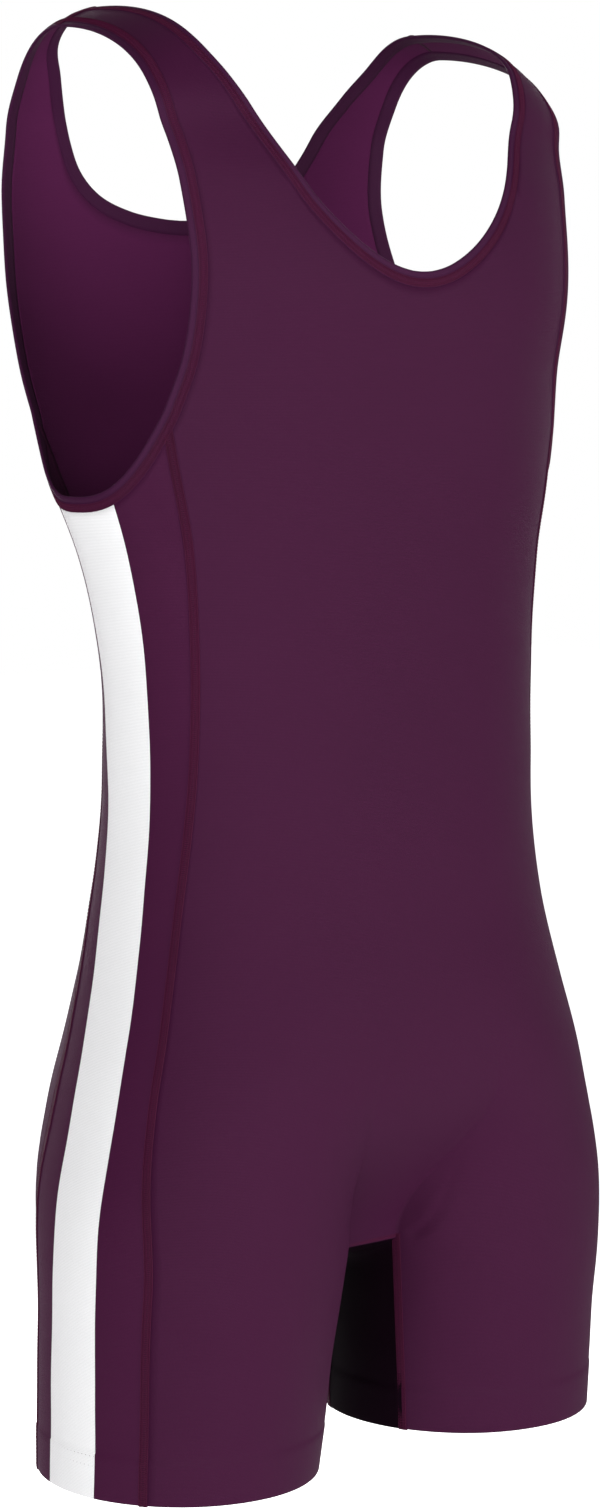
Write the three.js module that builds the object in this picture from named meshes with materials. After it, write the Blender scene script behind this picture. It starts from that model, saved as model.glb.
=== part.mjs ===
// Wrestling singlet, size medium, filled out as it is worn.
// Millimetres, +Z up. The chest faces -Y and the wearer's right side is -X.
// The origin lies midway between the tops of the two shoulder straps.

import * as THREE from 'three';

// Driving sizes
const CLOTH = 1.6;
const SEAM_GAP = 0.36;
const BINDING = { width: 9, proud: 0.5, deep: 2.2 };
const HEM = { down: 812, turned: 25, step: 0.5, proud: 0.5, deep: 2.2 };
const CROTCH_DOWN = 695;
const THIGH_START_DOWN = 500;
const SHOULDER_ROUND = 60;
const SQUARENESS = 2.3;
const SHOULDER_FALL = { from: 105, over: 30, depth: 8, gone: 110 };
const GUSSET = { turn: 0.06, leanIn: THREE.MathUtils.degToRad(67), sag: 11, corner: 12, cornerCut: 0.6 };
const CROTCH_HOLLOW = { startDown: 580, startLean: 0.35 };
const ARMHOLE = { corner: 222, bottom: 268, fullness: 2.4 };

// How far down the neck edge turns from the strap to its low middle
const NECK_TURN = { front: 96, back: 80 };

// Numbers of cells across and down each part of a panel
const CELLS = {
  strapRows: 12, chestRows: 5, torsoRows: 16, legRows: 4, hemRows: 1,
  neckColumns: 8, strapColumns: 4, sideColumns: 8, gussetColumns: 6,
};

// Colours of the cloth and of the stitched edges; the gusset is a darker dye
const COLOURS = { body: 0x4c2140, side: 0x47203c, gusset: 0x190c16, binding: 0x43213d };

// A short table: each row becomes an object with the named columns
function table(columns, rows) {
  return rows.map((row) => Object.fromEntries(columns.map((name, i) => [name, row[i]])));
}

// Body sections, measured down from the shoulder tops. half is the half width, side is how far
// back the widest point lies, front and back are the depths from there to the centre lines.
const SECTIONS = table(['down', 'half', 'side', 'front', 'back'], [
  [0, 163, 40, 144, 64],
  [30, 195, 48, 116, 48],
  [60, 188, 50, 122, 55],
  [100, 187, 45, 134, 67],
  [150, 188, 32, 131, 71],
  [200, 184, 20, 115, 67],
  [250, 172, 8, 98, 58],
  [300, 157, -2, 87, 53],
  [350, 147, -8, 83, 55],
  [400, 142, -10, 86, 63],
  [450, 141, -10, 91, 73],
  [500, 145, -10, 98, 86],
  [550, 154, -12, 107, 98],
  [600, 164, -14, 113, 108],
  [650, 169, -12, 113, 113],
  [700, 170, -5, 107, 115],
]);

// How square the front half of a section is; the shoulders are squarer than the rest
const FRONT_SQUARENESS = table(['down', 'power'], [
  [0, 3.2], [30, 4.4], [60, 3.6], [100, 3], [150, 2.6], [200, SQUARENESS], [250, SQUARENESS],
]);

// Leg sections: out is the leg's centre from the middle line, set is how far back it lies, and
// wide, front and back are the half width and the depths from there
const LEGS = table(['down', 'out', 'wide', 'front', 'back', 'set'], [
  [THIGH_START_DOWN, 80, 72, 92, 100, -20],
  [600, 90, 81, 92, 107, -20],
  [650, 97, 85, 90, 99, -20],
  [CROTCH_DOWN, 101, 85, 88, 88, -20],
  [750, 104, 81, 85, 83, -17],
  [HEM.down, 107, 77, 82, 82, -14],
]);

// Neck and armhole edges on the straps, as distance down and distance across from the middle
const NECK_FRONT = table(['down', 'across'], [
  [0, 118], [22, 115.5], [44, 105.5], [66, 93.5], [88, 81], [110, 66], [130, 44],
  [141.5, 23], [145.5, 8], [146, 0],
]);
const NECK_BACK = table(['down', 'across'], [
  [0, 118], [17, 116], [35, 106], [52, 96.5], [70, 87.5], [86, 76.5], [99, 60],
  [107, 37], [110.5, 12], [111, 0],
]);
const ARM_FRONT = table(['down', 'across'], [
  [0, 143.5], [39, 151], [78, 146], [116, 142.5], [154, 140.5], [193, 141], [ARMHOLE.corner, 147],
]);
const ARM_BACK = table(['down', 'across'], [
  [0, 143.5], [39, 142.5], [78, 143], [116, 145.5], [154, 151], [193, 155], [ARMHOLE.corner, 156],
]);

// Side panel seams, as the share of the half section from centre front (0) to centre back (1)
const SEAMS = table(['down', 'front', 'back'], [
  [ARMHOLE.corner, 0.291, 0.678],
  [285, 0.297, 0.69],
  [350, 0.321, 0.677],
  [420, 0.35, 0.65],
  [490, 0.378, 0.622],
  [560, 0.394, 0.606],
  [640, 0.404, 0.596],
  [720, 0.405, 0.595],
  [HEM.down, 0.401, 0.599],
]);

// The distance along the cloth from the shoulder top, and the height that it stands for
const ROUND_LENGTH = SHOULDER_ROUND * Math.PI / 2;
function downAt(along) {
  if (along < ROUND_LENGTH) return SHOULDER_ROUND * (1 - Math.cos(along / SHOULDER_ROUND));
  return along - ROUND_LENGTH + SHOULDER_ROUND;
}
function alongAt(down) {
  if (down < SHOULDER_ROUND) return SHOULDER_ROUND * Math.acos(1 - down / SHOULDER_ROUND);
  return down - SHOULDER_ROUND + ROUND_LENGTH;
}

// A smooth line through a table's column, over the distance along the cloth
function smoothColumn(rows, column) {
  const xs = rows.map((row) => alongAt(row.down));
  const ys = rows.map((row) => row[column]);
  const last = xs.length - 1;
  const slopes = xs.map((x, i) => {
    const before = Math.max(i - 1, 0);
    const after = Math.min(i + 1, last);
    return (ys[after] - ys[before]) / (xs[after] - xs[before]);
  });
  return (x) => {
    let i = 0;
    while (i < last - 1 && x > xs[i + 1]) i += 1;
    const span = xs[i + 1] - xs[i];
    const t = THREE.MathUtils.clamp((x - xs[i]) / span, 0, 1);
    const rise = ys[i + 1] - ys[i];
    const leave = slopes[i] * span - rise;
    const arrive = slopes[i + 1] * span - rise;
    const bend = t * (1 - t) * ((1 - t) * leave - t * arrive);
    return ys[i] + rise * t + bend;
  };
}
const section = Object.fromEntries(
  ['half', 'side', 'front', 'back'].map((name) => [name, smoothColumn(SECTIONS, name)]));
const frontPower = smoothColumn(FRONT_SQUARENESS, 'power');
const seamTurn = { front: smoothColumn(SEAMS, 'front'), back: smoothColumn(SEAMS, 'back') };

const ease = (t) => THREE.MathUtils.smoothstep(t, 0, 1);
const mix = THREE.MathUtils.lerp;
const evenSteps = (from, to, count) => Array.from({ length: count + 1 }, (_, i) => mix(from, to, i / count));

const squareness = (along, toFront) => (toFront ? frontPower(along) : SQUARENESS);

// Torso surface of the right half. turn runs from centre front (0) round to centre back (1).
function torsoPoint(along, turn) {
  const angle = Math.PI * turn;
  const toFront = Math.cos(angle) > 0;
  const power = 2 / squareness(along, toFront);
  const lift = along < ROUND_LENGTH ? Math.sin(along / SHOULDER_ROUND) : 1;
  const across = section.half(along) * Math.abs(Math.sin(angle)) ** power;
  const depth = lift * section[toFront ? 'front' : 'back'](along) * Math.abs(Math.cos(angle)) ** power;
  const down = downAt(along);
  const outside = Math.max(across - SHOULDER_FALL.from, 0) / SHOULDER_FALL.over;
  const fall = SHOULDER_FALL.depth * outside ** 2 * (1 - ease(down / SHOULDER_FALL.gone));
  return new THREE.Vector3(-across, section.side(along) + (toFront ? -depth : depth), -down - fall);
}

// A point of a leg's oval; angle 0 faces forward, 90 degrees out
const leg = Object.fromEntries(
  ['out', 'wide', 'front', 'back', 'set'].map((name) => [name, smoothColumn(LEGS, name)]));
function legPoint(down, angle) {
  const along = alongAt(down);
  const forward = Math.cos(angle);
  const depth = forward > 0 ? leg.front(along) : leg.back(along);
  return new THREE.Vector3(
    -leg.out(along) - leg.wide(along) * Math.sin(angle), leg.set(along) - depth * forward, -down);
}

// Outer part of a leg by the same turn as the torso; the first and last share are the crotch strip,
// which lies deeper between the legs the nearer it comes to the crotch
function thighPoint(down, turn) {
  const inside = THREE.MathUtils.clamp(turn, GUSSET.turn, 1 - GUSSET.turn);
  const share = (inside - GUSSET.turn) / (1 - 2 * GUSSET.turn);
  const hollow = THREE.MathUtils.smoothstep(down, CROTCH_HOLLOW.startDown, CROTCH_DOWN);
  const lean = GUSSET.leanIn * mix(CROTCH_HOLLOW.startLean, 1, hollow);
  const point = legPoint(down, -lean + (Math.PI + 2 * lean) * share);
  point.x *= Math.min(turn, 1 - turn, GUSSET.turn) / GUSSET.turn;
  return point;
}

// Whole right half of the garment's form
function form(along, turn) {
  const down = downAt(along);
  const legShare = THREE.MathUtils.smootherstep(down, THIGH_START_DOWN, CROTCH_DOWN);
  if (legShare === 0) return torsoPoint(along, turn);
  const thigh = thighPoint(down, turn);
  if (legShare === 1) return thigh;
  return torsoPoint(along, turn).lerp(thigh, legShare);
}

// Outward direction of a surface given by two numbers, from small steps along each
function outward(surface, a, b, stepA, stepB) {
  const moveA = surface(a + stepA, b).sub(surface(a, b)).multiplyScalar(Math.sign(stepA));
  const moveB = surface(a, b + stepB).sub(surface(a, b)).multiplyScalar(Math.sign(stepB));
  return moveB.cross(moveA).normalize();
}
const PROBE = { along: 0.2, turn: 0.0005 };
function formNormal(along, turn) {
  const normal = outward(form, along, turn, PROBE.along, turn < 0.5 ? PROBE.turn : -PROBE.turn);
  if (turn === 0 || turn === 1) normal.x = 0;
  return normal.normalize();
}

// The turn at which the torso's half section is a given distance across
function turnAt(along, across, toFront) {
  const share = Math.min(across / section.half(along), 1);
  const turn = Math.asin(share ** (squareness(along, toFront) / 2)) / Math.PI;
  return toFront ? turn : 1 - turn;
}

// A strap's edge as closely spaced places on the form, from the shoulder down
const EDGE_SAMPLES = 240;
function edgeOf(rows, toFront) {
  const places = rows.map((row) => new THREE.Vector3(alongAt(row.down), row.across, 0));
  const curve = new THREE.CatmullRomCurve3(places, false, 'centripetal');
  return curve.getPoints(EDGE_SAMPLES).map(({ x, y }) => {
    const along = Math.max(x, 0);
    return { along, turn: turnAt(along, Math.max(y, 0), toFront) };
  });
}

// The bottom of the armhole, on the side panel, from its front seam to its back seam
function armholeBottom() {
  const start = turnAt(alongAt(ARMHOLE.corner), ARM_FRONT.at(-1).across, true);
  const end = turnAt(alongAt(ARMHOLE.corner), ARM_BACK.at(-1).across, false);
  const middle = (start + end) / 2;
  return Array.from({ length: EDGE_SAMPLES - 1 }, (_, i) => {
    const turn = mix(start, end, (i + 1) / EDGE_SAMPLES);
    const away = Math.abs(turn - middle) / (end - middle);
    const down = mix(ARMHOLE.bottom, ARMHOLE.corner, away ** ARMHOLE.fullness);
    return { along: alongAt(down), turn };
  });
}

// Edge lines: each starts and ends at the top of the right strap, or on the middle line
const neckFrontEdge = edgeOf(NECK_FRONT, true);
const neckBackEdge = edgeOf(NECK_BACK, false);
const armEdge = [
  ...edgeOf(ARM_FRONT, true), ...armholeBottom(), ...edgeOf(ARM_BACK, false).reverse(),
];

// A line moved sideways within the cloth: distance is measured to the left of its direction as
// seen from outside. Steps are short, so that the line stays on the curved form.
const OFFSET_STEPS = 3;
function movedWithin(line, distance, closed) {
  let places = line;
  for (let step = 0; step < OFFSET_STEPS; step += 1) {
    const points = places.map((place) => form(place.along, place.turn));
    places = places.map((place, i) => {
      const before = points[closed && i === 0 ? points.length - 2 : Math.max(i - 1, 0)];
      const after = points[closed && i === points.length - 1 ? 1 : Math.min(i + 1, points.length - 1)];
      const direction = after.clone().sub(before).normalize();
      const move = formNormal(place.along, place.turn).cross(direction).normalize()
        .multiplyScalar(distance / OFFSET_STEPS);
      return shifted(place, move);
    });
  }
  return places;
}

// The place reached from a place by a small move in space, kept on the form
function shifted({ along, turn }, move) {
  const here = form(along, turn);
  const turnStep = turn < 0.5 ? PROBE.turn : -PROBE.turn;
  const byAlong = form(along + PROBE.along, turn).sub(here).divideScalar(PROBE.along);
  const byTurn = form(along, turn + turnStep).sub(here).divideScalar(turnStep);
  const aa = byAlong.dot(byAlong);
  const ab = byAlong.dot(byTurn);
  const bb = byTurn.dot(byTurn);
  const a = byAlong.dot(move);
  const b = byTurn.dot(move);
  const size = aa * bb - ab * ab;
  return { along: along + (a * bb - b * ab) / size, turn: turn + (b * aa - a * ab) / size };
}

// A place between two samples of a line, by its fractional sample number
function placeOn(line, at) {
  const i = Math.min(Math.floor(at), line.length - 2);
  const t = at - i;
  return { along: mix(line[i].along, line[i + 1].along, t), turn: mix(line[i].turn, line[i + 1].turn, t) };
}

// The fractional sample number where a rising measure of the places reaches a value
function sampleWhere(line, measure, value, first = 0) {
  let i = first;
  while (measure(line[i + 1]) < value) i += 1;
  return i + (value - measure(line[i])) / (measure(line[i + 1]) - measure(line[i]));
}

// Sample numbers that cut a stretch of a line into equal lengths of cloth
function evenSamples(line, from, to, count) {
  const FINE = 200;
  const fine = evenSteps(from, to, FINE);
  const points = fine.map((at) => {
    const place = placeOn(line, at);
    return form(place.along, place.turn);
  });
  const lengths = [0];
  for (let i = 1; i <= FINE; i += 1) lengths.push(lengths[i - 1] + points[i].distanceTo(points[i - 1]));
  return Array.from({ length: count + 1 }, (_, k) => {
    const wanted = (lengths[FINE] * k) / count;
    let i = 0;
    while (i < FINE - 1 && lengths[i + 1] < wanted) i += 1;
    return mix(fine[i], fine[i + 1], (wanted - lengths[i]) / (lengths[i + 1] - lengths[i]));
  });
}

// Ends of a moved edge go back to the shoulder top and, for the neck, to the middle line
function trimmed(line, middleTurn) {
  const places = line.map(({ along, turn }) => ({ along: Math.max(along, 0), turn }));
  places[0].along = 0;
  if (middleTurn === undefined) places.at(-1).along = 0;
  else places.at(-1).turn = middleTurn;
  return places;
}

// The binding's lines, from the free edge inwards, and the panels' own edge just past it
const BINDING_LINES = [0, BINDING.width / 2, BINDING.width - SEAM_GAP / 2];
const PANEL_LINE = BINDING.width + SEAM_GAP / 2;
const neckFront = (distance) => trimmed(movedWithin(neckFrontEdge, -distance, false), 0);
const neckBack = (distance) => trimmed(movedWithin(neckBackEdge, distance, false), 1);
const armhole = (distance) => trimmed(movedWithin(armEdge, distance, true));

// The share of a turn that a small distance round the body takes
function turnFor(along, turn, distance) {
  const step = turn < 0.5 ? PROBE.turn : -PROBE.turn;
  return (distance * PROBE.turn) / form(along, turn + step).distanceTo(form(along, turn));
}

// A closed wall of cloth. Corners hold an outer and an inner point; cells name four corners each,
// anticlockwise as seen from outside. The rim joins both faces along every free edge.
class Wall {
  constructor() {
    this.corners = [];
    this.numbers = new Map();
    this.cells = [];
  }

  corner({ point, normal, proud = 0, deep = CLOTH }, mirrored) {
    const outer = point.clone().addScaledVector(normal, proud);
    const inner = point.clone().addScaledVector(normal, -deep);
    if (mirrored) [outer, inner].forEach((end) => end.setX(-end.x));
    const key = outer.toArray().map((value) => Math.round(value * 1000)).join();
    if (!this.numbers.has(key)) {
      this.numbers.set(key, this.corners.length);
      this.corners.push({ outer, inner });
    }
    return this.numbers.get(key);
  }

  // Rows of corners; a missing corner leaves its cells out
  grid(rows, { mirrored = false, flipped = false } = {}) {
    const numbers = rows.map((row) => row.map((corner) => corner && this.corner(corner, mirrored)));
    for (let i = 0; i < numbers.length - 1; i += 1) {
      for (let j = 0; j < numbers[i].length - 1; j += 1) {
        const cell = [numbers[i][j], numbers[i][j + 1], numbers[i + 1][j + 1], numbers[i + 1][j]];
        if (cell.some((number) => number === undefined)) continue;
        this.cells.push(mirrored === flipped ? cell : cell.reverse());
      }
    }
    return this;
  }

  // An order of corners in space, so that two rims that face each other are split the same way
  rank(number) {
    const { x, y, z } = this.corners[number].outer;
    return 0.3 * Math.abs(x) + 0.5 * y + 0.8 * z;
  }

  mesh(name, colour) {
    const count = this.corners.length;
    const positions = [...this.corners.map((c) => c.outer), ...this.corners.map((c) => c.inner)];
    const index = [];
    const free = new Map();
    for (const cell of this.cells) {
      const [a, b, c, d] = cell;
      index.push(a, b, c, a, c, d);
      index.push(count + a, count + c, count + b, count + a, count + d, count + c);
      cell.forEach((from, i) => {
        const to = cell[(i + 1) % 4];
        if (!free.delete(`${to} ${from}`)) free.set(`${from} ${to}`, [from, to]);
      });
    }
    for (const [from, to] of free.values()) {
      const rising = this.rank(from) < this.rank(to);
      if (rising) index.push(from, count + from, count + to, from, count + to, to);
      else index.push(from, count + from, to, count + from, count + to, to);
    }
    const geometry = new THREE.BufferGeometry().setFromPoints(positions);
    geometry.setIndex(index);
    geometry.computeVertexNormals();
    const material = new THREE.MeshStandardMaterial({ color: colour, roughness: 0.75, metalness: 0 });
    const mesh = new THREE.Mesh(geometry, material);
    mesh.name = name;
    return mesh;
  }
}

// Wall thickness at a height: the hem is turned up, so it is double and stands a little proud
function hemWall(down) {
  if (down < HEM.down - HEM.turned) return {};
  return { proud: HEM.proud, deep: HEM.deep };
}

function formCorner(along, turn, normal = formNormal(along, turn)) {
  return { point: form(along, turn), normal, ...hemWall(downAt(along)) };
}

// Heights of the rows down a leg: the crotch, the end of the gusset's round corner, and on to the
// hem, whose step lies between two close rows
const hemTop = HEM.down - HEM.turned;
const thighTop = CROTCH_DOWN + GUSSET.corner;
const legDowns = [
  CROTCH_DOWN,
  ...evenSteps(thighTop, hemTop - HEM.step, CELLS.legRows),
  ...evenSteps(hemTop, HEM.down, CELLS.hemRows),
];

// The inner thigh, from the front seam (share 0) to the back seam (share 1)
function innerThigh(down, share) {
  return legPoint(down, -GUSSET.leanIn - (Math.PI - 2 * GUSSET.leanIn) * share);
}
const gussetDepth = innerThigh(CROTCH_DOWN, 0).distanceTo(innerThigh(CROTCH_DOWN, 1));

// Directions along the crotch seam: both sewn pieces share the mean of their own directions
function gussetStart(atBack) {
  const slope = Math.atan((4 * GUSSET.sag) / gussetDepth);
  return new THREE.Vector3(0, (atBack ? 1 : -1) * Math.sin(slope), -Math.cos(slope));
}
function crotchNormal(atBack, atCorner) {
  const facing = new THREE.Vector3(0, atBack ? 1 : -1, 0);
  const total = facing.add(gussetStart(atBack));
  if (atCorner) total.add(formNormal(alongAt(CROTCH_DOWN), atBack ? 1 - GUSSET.turn : GUSSET.turn));
  return total.normalize();
}

// Half of the front or back panel. Columns run from the middle line to the armhole and side seam,
// rows from the shoulder seam down to the hem. The columns under the neck start at its edge, and
// the strip between the legs ends at the crotch.
const COLUMNS = CELLS.neckColumns + CELLS.strapColumns;
const COLUMN_SETTLING = 260;
function halfPanel(toFront) {
  const turnOf = (share) => (toFront ? share : 1 - share);
  const neckLine = toFront ? neckFront(PANEL_LINE) : neckBack(PANEL_LINE);
  const armLine = toFront ? armhole(PANEL_LINE) : armhole(PANEL_LINE).reverse();
  const seamAt = (along) => turnOf(seamTurn[toFront ? 'front' : 'back'](along));
  const shoulderGap = SEAM_GAP / 2;

  const neckTop = sampleWhere(neckLine, (p) => p.along, shoulderGap);
  const neckTurnsAt = alongAt(NECK_TURN[toFront ? 'front' : 'back']);
  const neckCorner = sampleWhere(neckLine, (p) => p.along, neckTurnsAt);
  const armTop = sampleWhere(armLine, (p) => p.along, shoulderGap);
  const armMiddle = sampleWhere(armLine, (p) => p.along, placeOn(neckLine, neckCorner).along);
  const pastSeam = (place) => turnOf(place.turn) - seamAt(place.along);
  const armCorner = sampleWhere(armLine, pastSeam, 0, Math.ceil(armMiddle));

  const neckSamples = evenSamples(neckLine, neckTop, neckCorner, CELLS.strapRows);
  const neckLowSamples = evenSamples(neckLine, neckCorner, neckLine.length - 1, CELLS.neckColumns);
  const armSamples = evenSamples(armLine, armTop, armMiddle, CELLS.strapRows);
  const armLowSamples = evenSamples(armLine, armMiddle, armCorner, CELLS.chestRows);

  const rows = [];
  for (let i = 0; i <= CELLS.strapRows; i += 1) {
    const neck = placeOn(neckLine, neckSamples[i]);
    const arm = placeOn(armLine, armSamples[i]);
    const row = Array(CELLS.neckColumns).fill(undefined);
    for (let j = 0; j <= CELLS.strapColumns; j += 1) {
      const t = j / CELLS.strapColumns;
      row.push(formCorner(mix(neck.along, arm.along, t), mix(neck.turn, arm.turn, t)));
    }
    rows.push(row);
  }

  // The starting row below the strap, with its middle on the neck edge
  const neckEnd = placeOn(neckLine, neckCorner);
  const armStart = placeOn(armLine, armMiddle);
  const between = (a, b, t) => ({ along: mix(a.along, b.along, t), turn: mix(a.turn, b.turn, t) });
  const starts = Array.from({ length: COLUMNS + 1 }, (_, j) => {
    if (j <= CELLS.neckColumns) return placeOn(neckLine, neckLowSamples[CELLS.neckColumns - j]);
    return between(neckEnd, armStart, (j - CELLS.neckColumns) / CELLS.strapColumns);
  });
  rows[CELLS.strapRows] = starts.map(({ along, turn }) => formCorner(along, turn));

  // Rows from the chest to the crotch. The outer end first follows the armhole, then the seam.
  const crotchAlong = alongAt(CROTCH_DOWN);
  const armAlongs = armLowSamples.slice(1).map((at) => placeOn(armLine, at));
  const cornerAlong = armAlongs.at(-1).along;
  const outerPlaces = [
    ...armAlongs.map(({ along, turn }) => ({ along, share: turnOf(turn) })),
    ...Array.from({ length: CELLS.torsoRows }, (_, i) => {
      const along = mix(cornerAlong, crotchAlong, (i + 1) / CELLS.torsoRows);
      return { along, share: seamAt(along) };
    }),
  ];
  outerPlaces.slice(CELLS.chestRows - 1).forEach((place) => {
    place.share -= turnFor(place.along, turnOf(place.share), SEAM_GAP / 2);
  });
  const outerStart = turnOf(armStart.turn);
  const atCrotchSeam = crotchAlong - SEAM_GAP / 2;
  outerPlaces.forEach(({ along: outerAlong, share: outerShare }) => {
    const progress = (outerAlong - armStart.along) / (crotchAlong - armStart.along);
    const row = starts.map((start, j) => {
      let along = mix(start.along, crotchAlong, progress);
      const above = (turnOf(start.turn) / outerStart) * outerShare;
      const strip = GUSSET.turn + turnFor(crotchAlong, turnOf(GUSSET.turn), SEAM_GAP / 2);
      const below = j === 0 ? 0 : mix(strip, outerShare, (j - 1) / (COLUMNS - 1));
      const share = mix(above, below, ease((along - start.along) / COLUMN_SETTLING));
      if (progress === 1 && j <= 1) along = atCrotchSeam;
      const turn = turnOf(share);
      return formCorner(along, turn, panelNormal(along, turn, j, progress === 1, !toFront));
    });
    rows.push(row);
  });

  // Rows down the leg, without the strip
  legDowns.slice(1).forEach((down) => {
    const along = alongAt(down);
    const outerShare = seamAt(along) - turnFor(along, turnOf(seamAt(along)), SEAM_GAP / 2);
    const innerShare = GUSSET.turn + turnFor(along, turnOf(GUSSET.turn), SEAM_GAP / 2);
    const row = [undefined];
    for (let j = 1; j <= COLUMNS; j += 1) {
      row.push(formCorner(along, turnOf(mix(innerShare, outerShare, (j - 1) / (COLUMNS - 1)))));
    }
    rows.push(row);
  });

  const neckMarks = [...neckSamples, ...neckLowSamples.slice(1)];
  const armMarks = [...armSamples, ...armLowSamples.slice(1)];
  const seamAlongs = [cornerAlong, ...outerPlaces.slice(CELLS.chestRows).map((p) => p.along)];
  return { rows, neckMarks, armMarks, seamAlongs };
}

// The direction of a panel's corner: the crease beside the strip takes the mean of both its sides
function panelNormal(along, turn, column, atCrotch, atBack) {
  if (atCrotch && column <= 1) return crotchNormal(atBack, column === 1);
  if (column !== 1) return formNormal(along, turn);
  const stripSide = outward(form, along, turn, PROBE.along, turn < 0.5 ? -PROBE.turn : PROBE.turn);
  return formNormal(along, turn).add(stripSide).normalize();
}

const front = halfPanel(true);
const back = halfPanel(false);

// Side panel: its top follows the armhole, and its rows meet those of front and back at the seams
function sidePanel() {
  const line = armhole(PANEL_LINE);
  const first = sampleWhere(line, (p) => p.turn - seamTurn.front(p.along), 0, EDGE_SAMPLES / 2);
  const last = sampleWhere(line, (p) => p.turn - seamTurn.back(p.along), 0, Math.ceil(first));
  const marks = evenSamples(line, first, last, CELLS.sideColumns);
  const top = marks.map((at) => placeOn(line, at));
  const frontAlongs = [...front.seamAlongs, ...legDowns.slice(1).map(alongAt)];
  const backAlongs = [...back.seamAlongs, ...legDowns.slice(1).map(alongAt)];
  const dipEnd = front.seamAlongs.length - 1;
  const rows = frontAlongs.map((frontAlong, i) => {
    const backAlong = backAlongs[i];
    const start = seamTurn.front(frontAlong);
    const end = seamTurn.back(backAlong);
    const startInside = start + turnFor(frontAlong, start, SEAM_GAP / 2);
    const endInside = end - turnFor(backAlong, end, SEAM_GAP / 2);
    return top.map((place, j) => {
      const across = j / CELLS.sideColumns;
      const dip = place.along - mix(frontAlongs[0], backAlongs[0], across);
      const along = mix(frontAlong, backAlong, across) + dip * Math.max(1 - i / dipEnd, 0);
      const topShare = (place.turn - top[0].turn) / (top.at(-1).turn - top[0].turn);
      const share = mix(topShare, across, Math.min(i / dipEnd, 1));
      return formCorner(along, mix(startInside, endInside, share));
    });
  });
  return { rows, marks };
}
const side = sidePanel();

// Binding: three lines across, closed over the top of the strap, in step with the panels' corners
function bindingRows(lines) {
  return lines.map((line) => line.map(({ along, turn }) => ({
    point: form(along, turn), normal: formNormal(along, turn), proud: BINDING.proud, deep: BINDING.deep,
  })));
}
function armholeBinding() {
  const total = armEdge.length - 1;
  const marks = [
    0, ...front.armMarks.slice(1), ...side.marks.slice(1, -1),
    ...back.armMarks.slice(1).map((at) => total - at).reverse(), total,
  ];
  return bindingRows(BINDING_LINES.map((distance) => {
    const line = armhole(distance);
    return marks.map((at) => placeOn(line, at));
  }));
}
function neckBindingHalf() {
  const frontMarks = [0, ...front.neckMarks.slice(1)];
  const backMarks = [0, ...back.neckMarks.slice(1)].reverse();
  return bindingRows(BINDING_LINES.map((distance) => {
    const frontLine = neckFront(distance);
    const backLine = neckBack(distance);
    return [
      ...backMarks.slice(0, -1).map((at) => placeOn(backLine, at)),
      ...frontMarks.map((at) => placeOn(frontLine, at)),
    ];
  }));
}

// Gusset: from the right hem up the inner thigh and through the crotch to the middle
function gussetRows() {
  const gap = SEAM_GAP / 2 / gussetDepth;
  const shares = evenSteps(gap, 1 - gap, CELLS.gussetColumns);
  const onLeg = (down) => shares.map((share) => {
    const normal = outward(innerThigh, down, share, PROBE.along, PROBE.turn).negate();
    return { point: innerThigh(down, share), normal, ...hemWall(down) };
  });
  const rows = legDowns.slice(2).map(onLeg).reverse();

  // Rounded corner between the thigh and the crotch, sharp at both seams
  const archRow = (place) => shares.map((share, j) => {
    const swell = Math.sin(Math.PI * share);
    const low = CROTCH_DOWN + GUSSET.sag * swell;
    const corner = innerThigh(low, share);
    const below = innerThigh(low + GUSSET.corner, share);
    const beside = corner.clone().setX(corner.x + GUSSET.corner);
    const middle = corner.clone().setX(0);
    const chord = below.clone().add(beside).divideScalar(2);
    const cut = corner.clone().lerp(chord, GUSSET.cornerCut * swell);
    const point = { below, cut, beside, middle }[place];
    const onSeam = j === 0 || j === shares.length - 1;
    const facing = { below: [1, 0], cut: [1, 1], beside: [0, 1], middle: [0, 1] }[place];
    let normal = outward(innerThigh, low, share, PROBE.along, PROBE.turn).negate()
      .multiplyScalar(facing[0]).add(archNormal(share).multiplyScalar(facing[1])).normalize();
    if (onSeam && place !== 'below') normal = crotchNormal(j > 0, place === 'cut');
    return { point, normal };
  });
  return [...rows, archRow('below'), archRow('cut'), archRow('beside'), archRow('middle')];
}
function archNormal(share) {
  const flat = gussetStart(true);
  return new THREE.Vector3(0, mix(-flat.y, flat.y, share), -1).normalize();
}

// A piece that crosses the middle line, made from its right half and the mirrored one
function wholePiece(name, rows, colour, flipped = false) {
  return new Wall().grid(rows, { flipped }).grid(rows, { mirrored: true, flipped }).mesh(name, colour);
}

// Two pieces alike, one on the wearer's right and one on the left
function pairOfPieces(name, rows, colour) {
  return [
    new Wall().grid(rows).mesh(`${name}_right`, colour),
    new Wall().grid(rows, { mirrored: true }).mesh(`${name}_left`, colour),
  ];
}

const singlet = new THREE.Group();
singlet.add(
  wholePiece('front', front.rows, COLOURS.body),
  wholePiece('back', back.rows, COLOURS.body, true),
  ...pairOfPieces('side', side.rows, COLOURS.side),
  wholePiece('gusset', gussetRows(), COLOURS.gusset),
  wholePiece('neck_binding', neckBindingHalf(), COLOURS.binding, true),
  ...pairOfPieces('armhole_binding', armholeBinding(), COLOURS.binding),
);

export default singlet;
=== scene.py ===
# Wrestling singlet in dark plum stretch knit, filled out as it is worn.
# The form is worked out in millimetres and made into metres where a mesh is made. The chest
# faces -Y, the wearer's right side is -X, and the origin lies between the two strap tops.

import math

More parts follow.
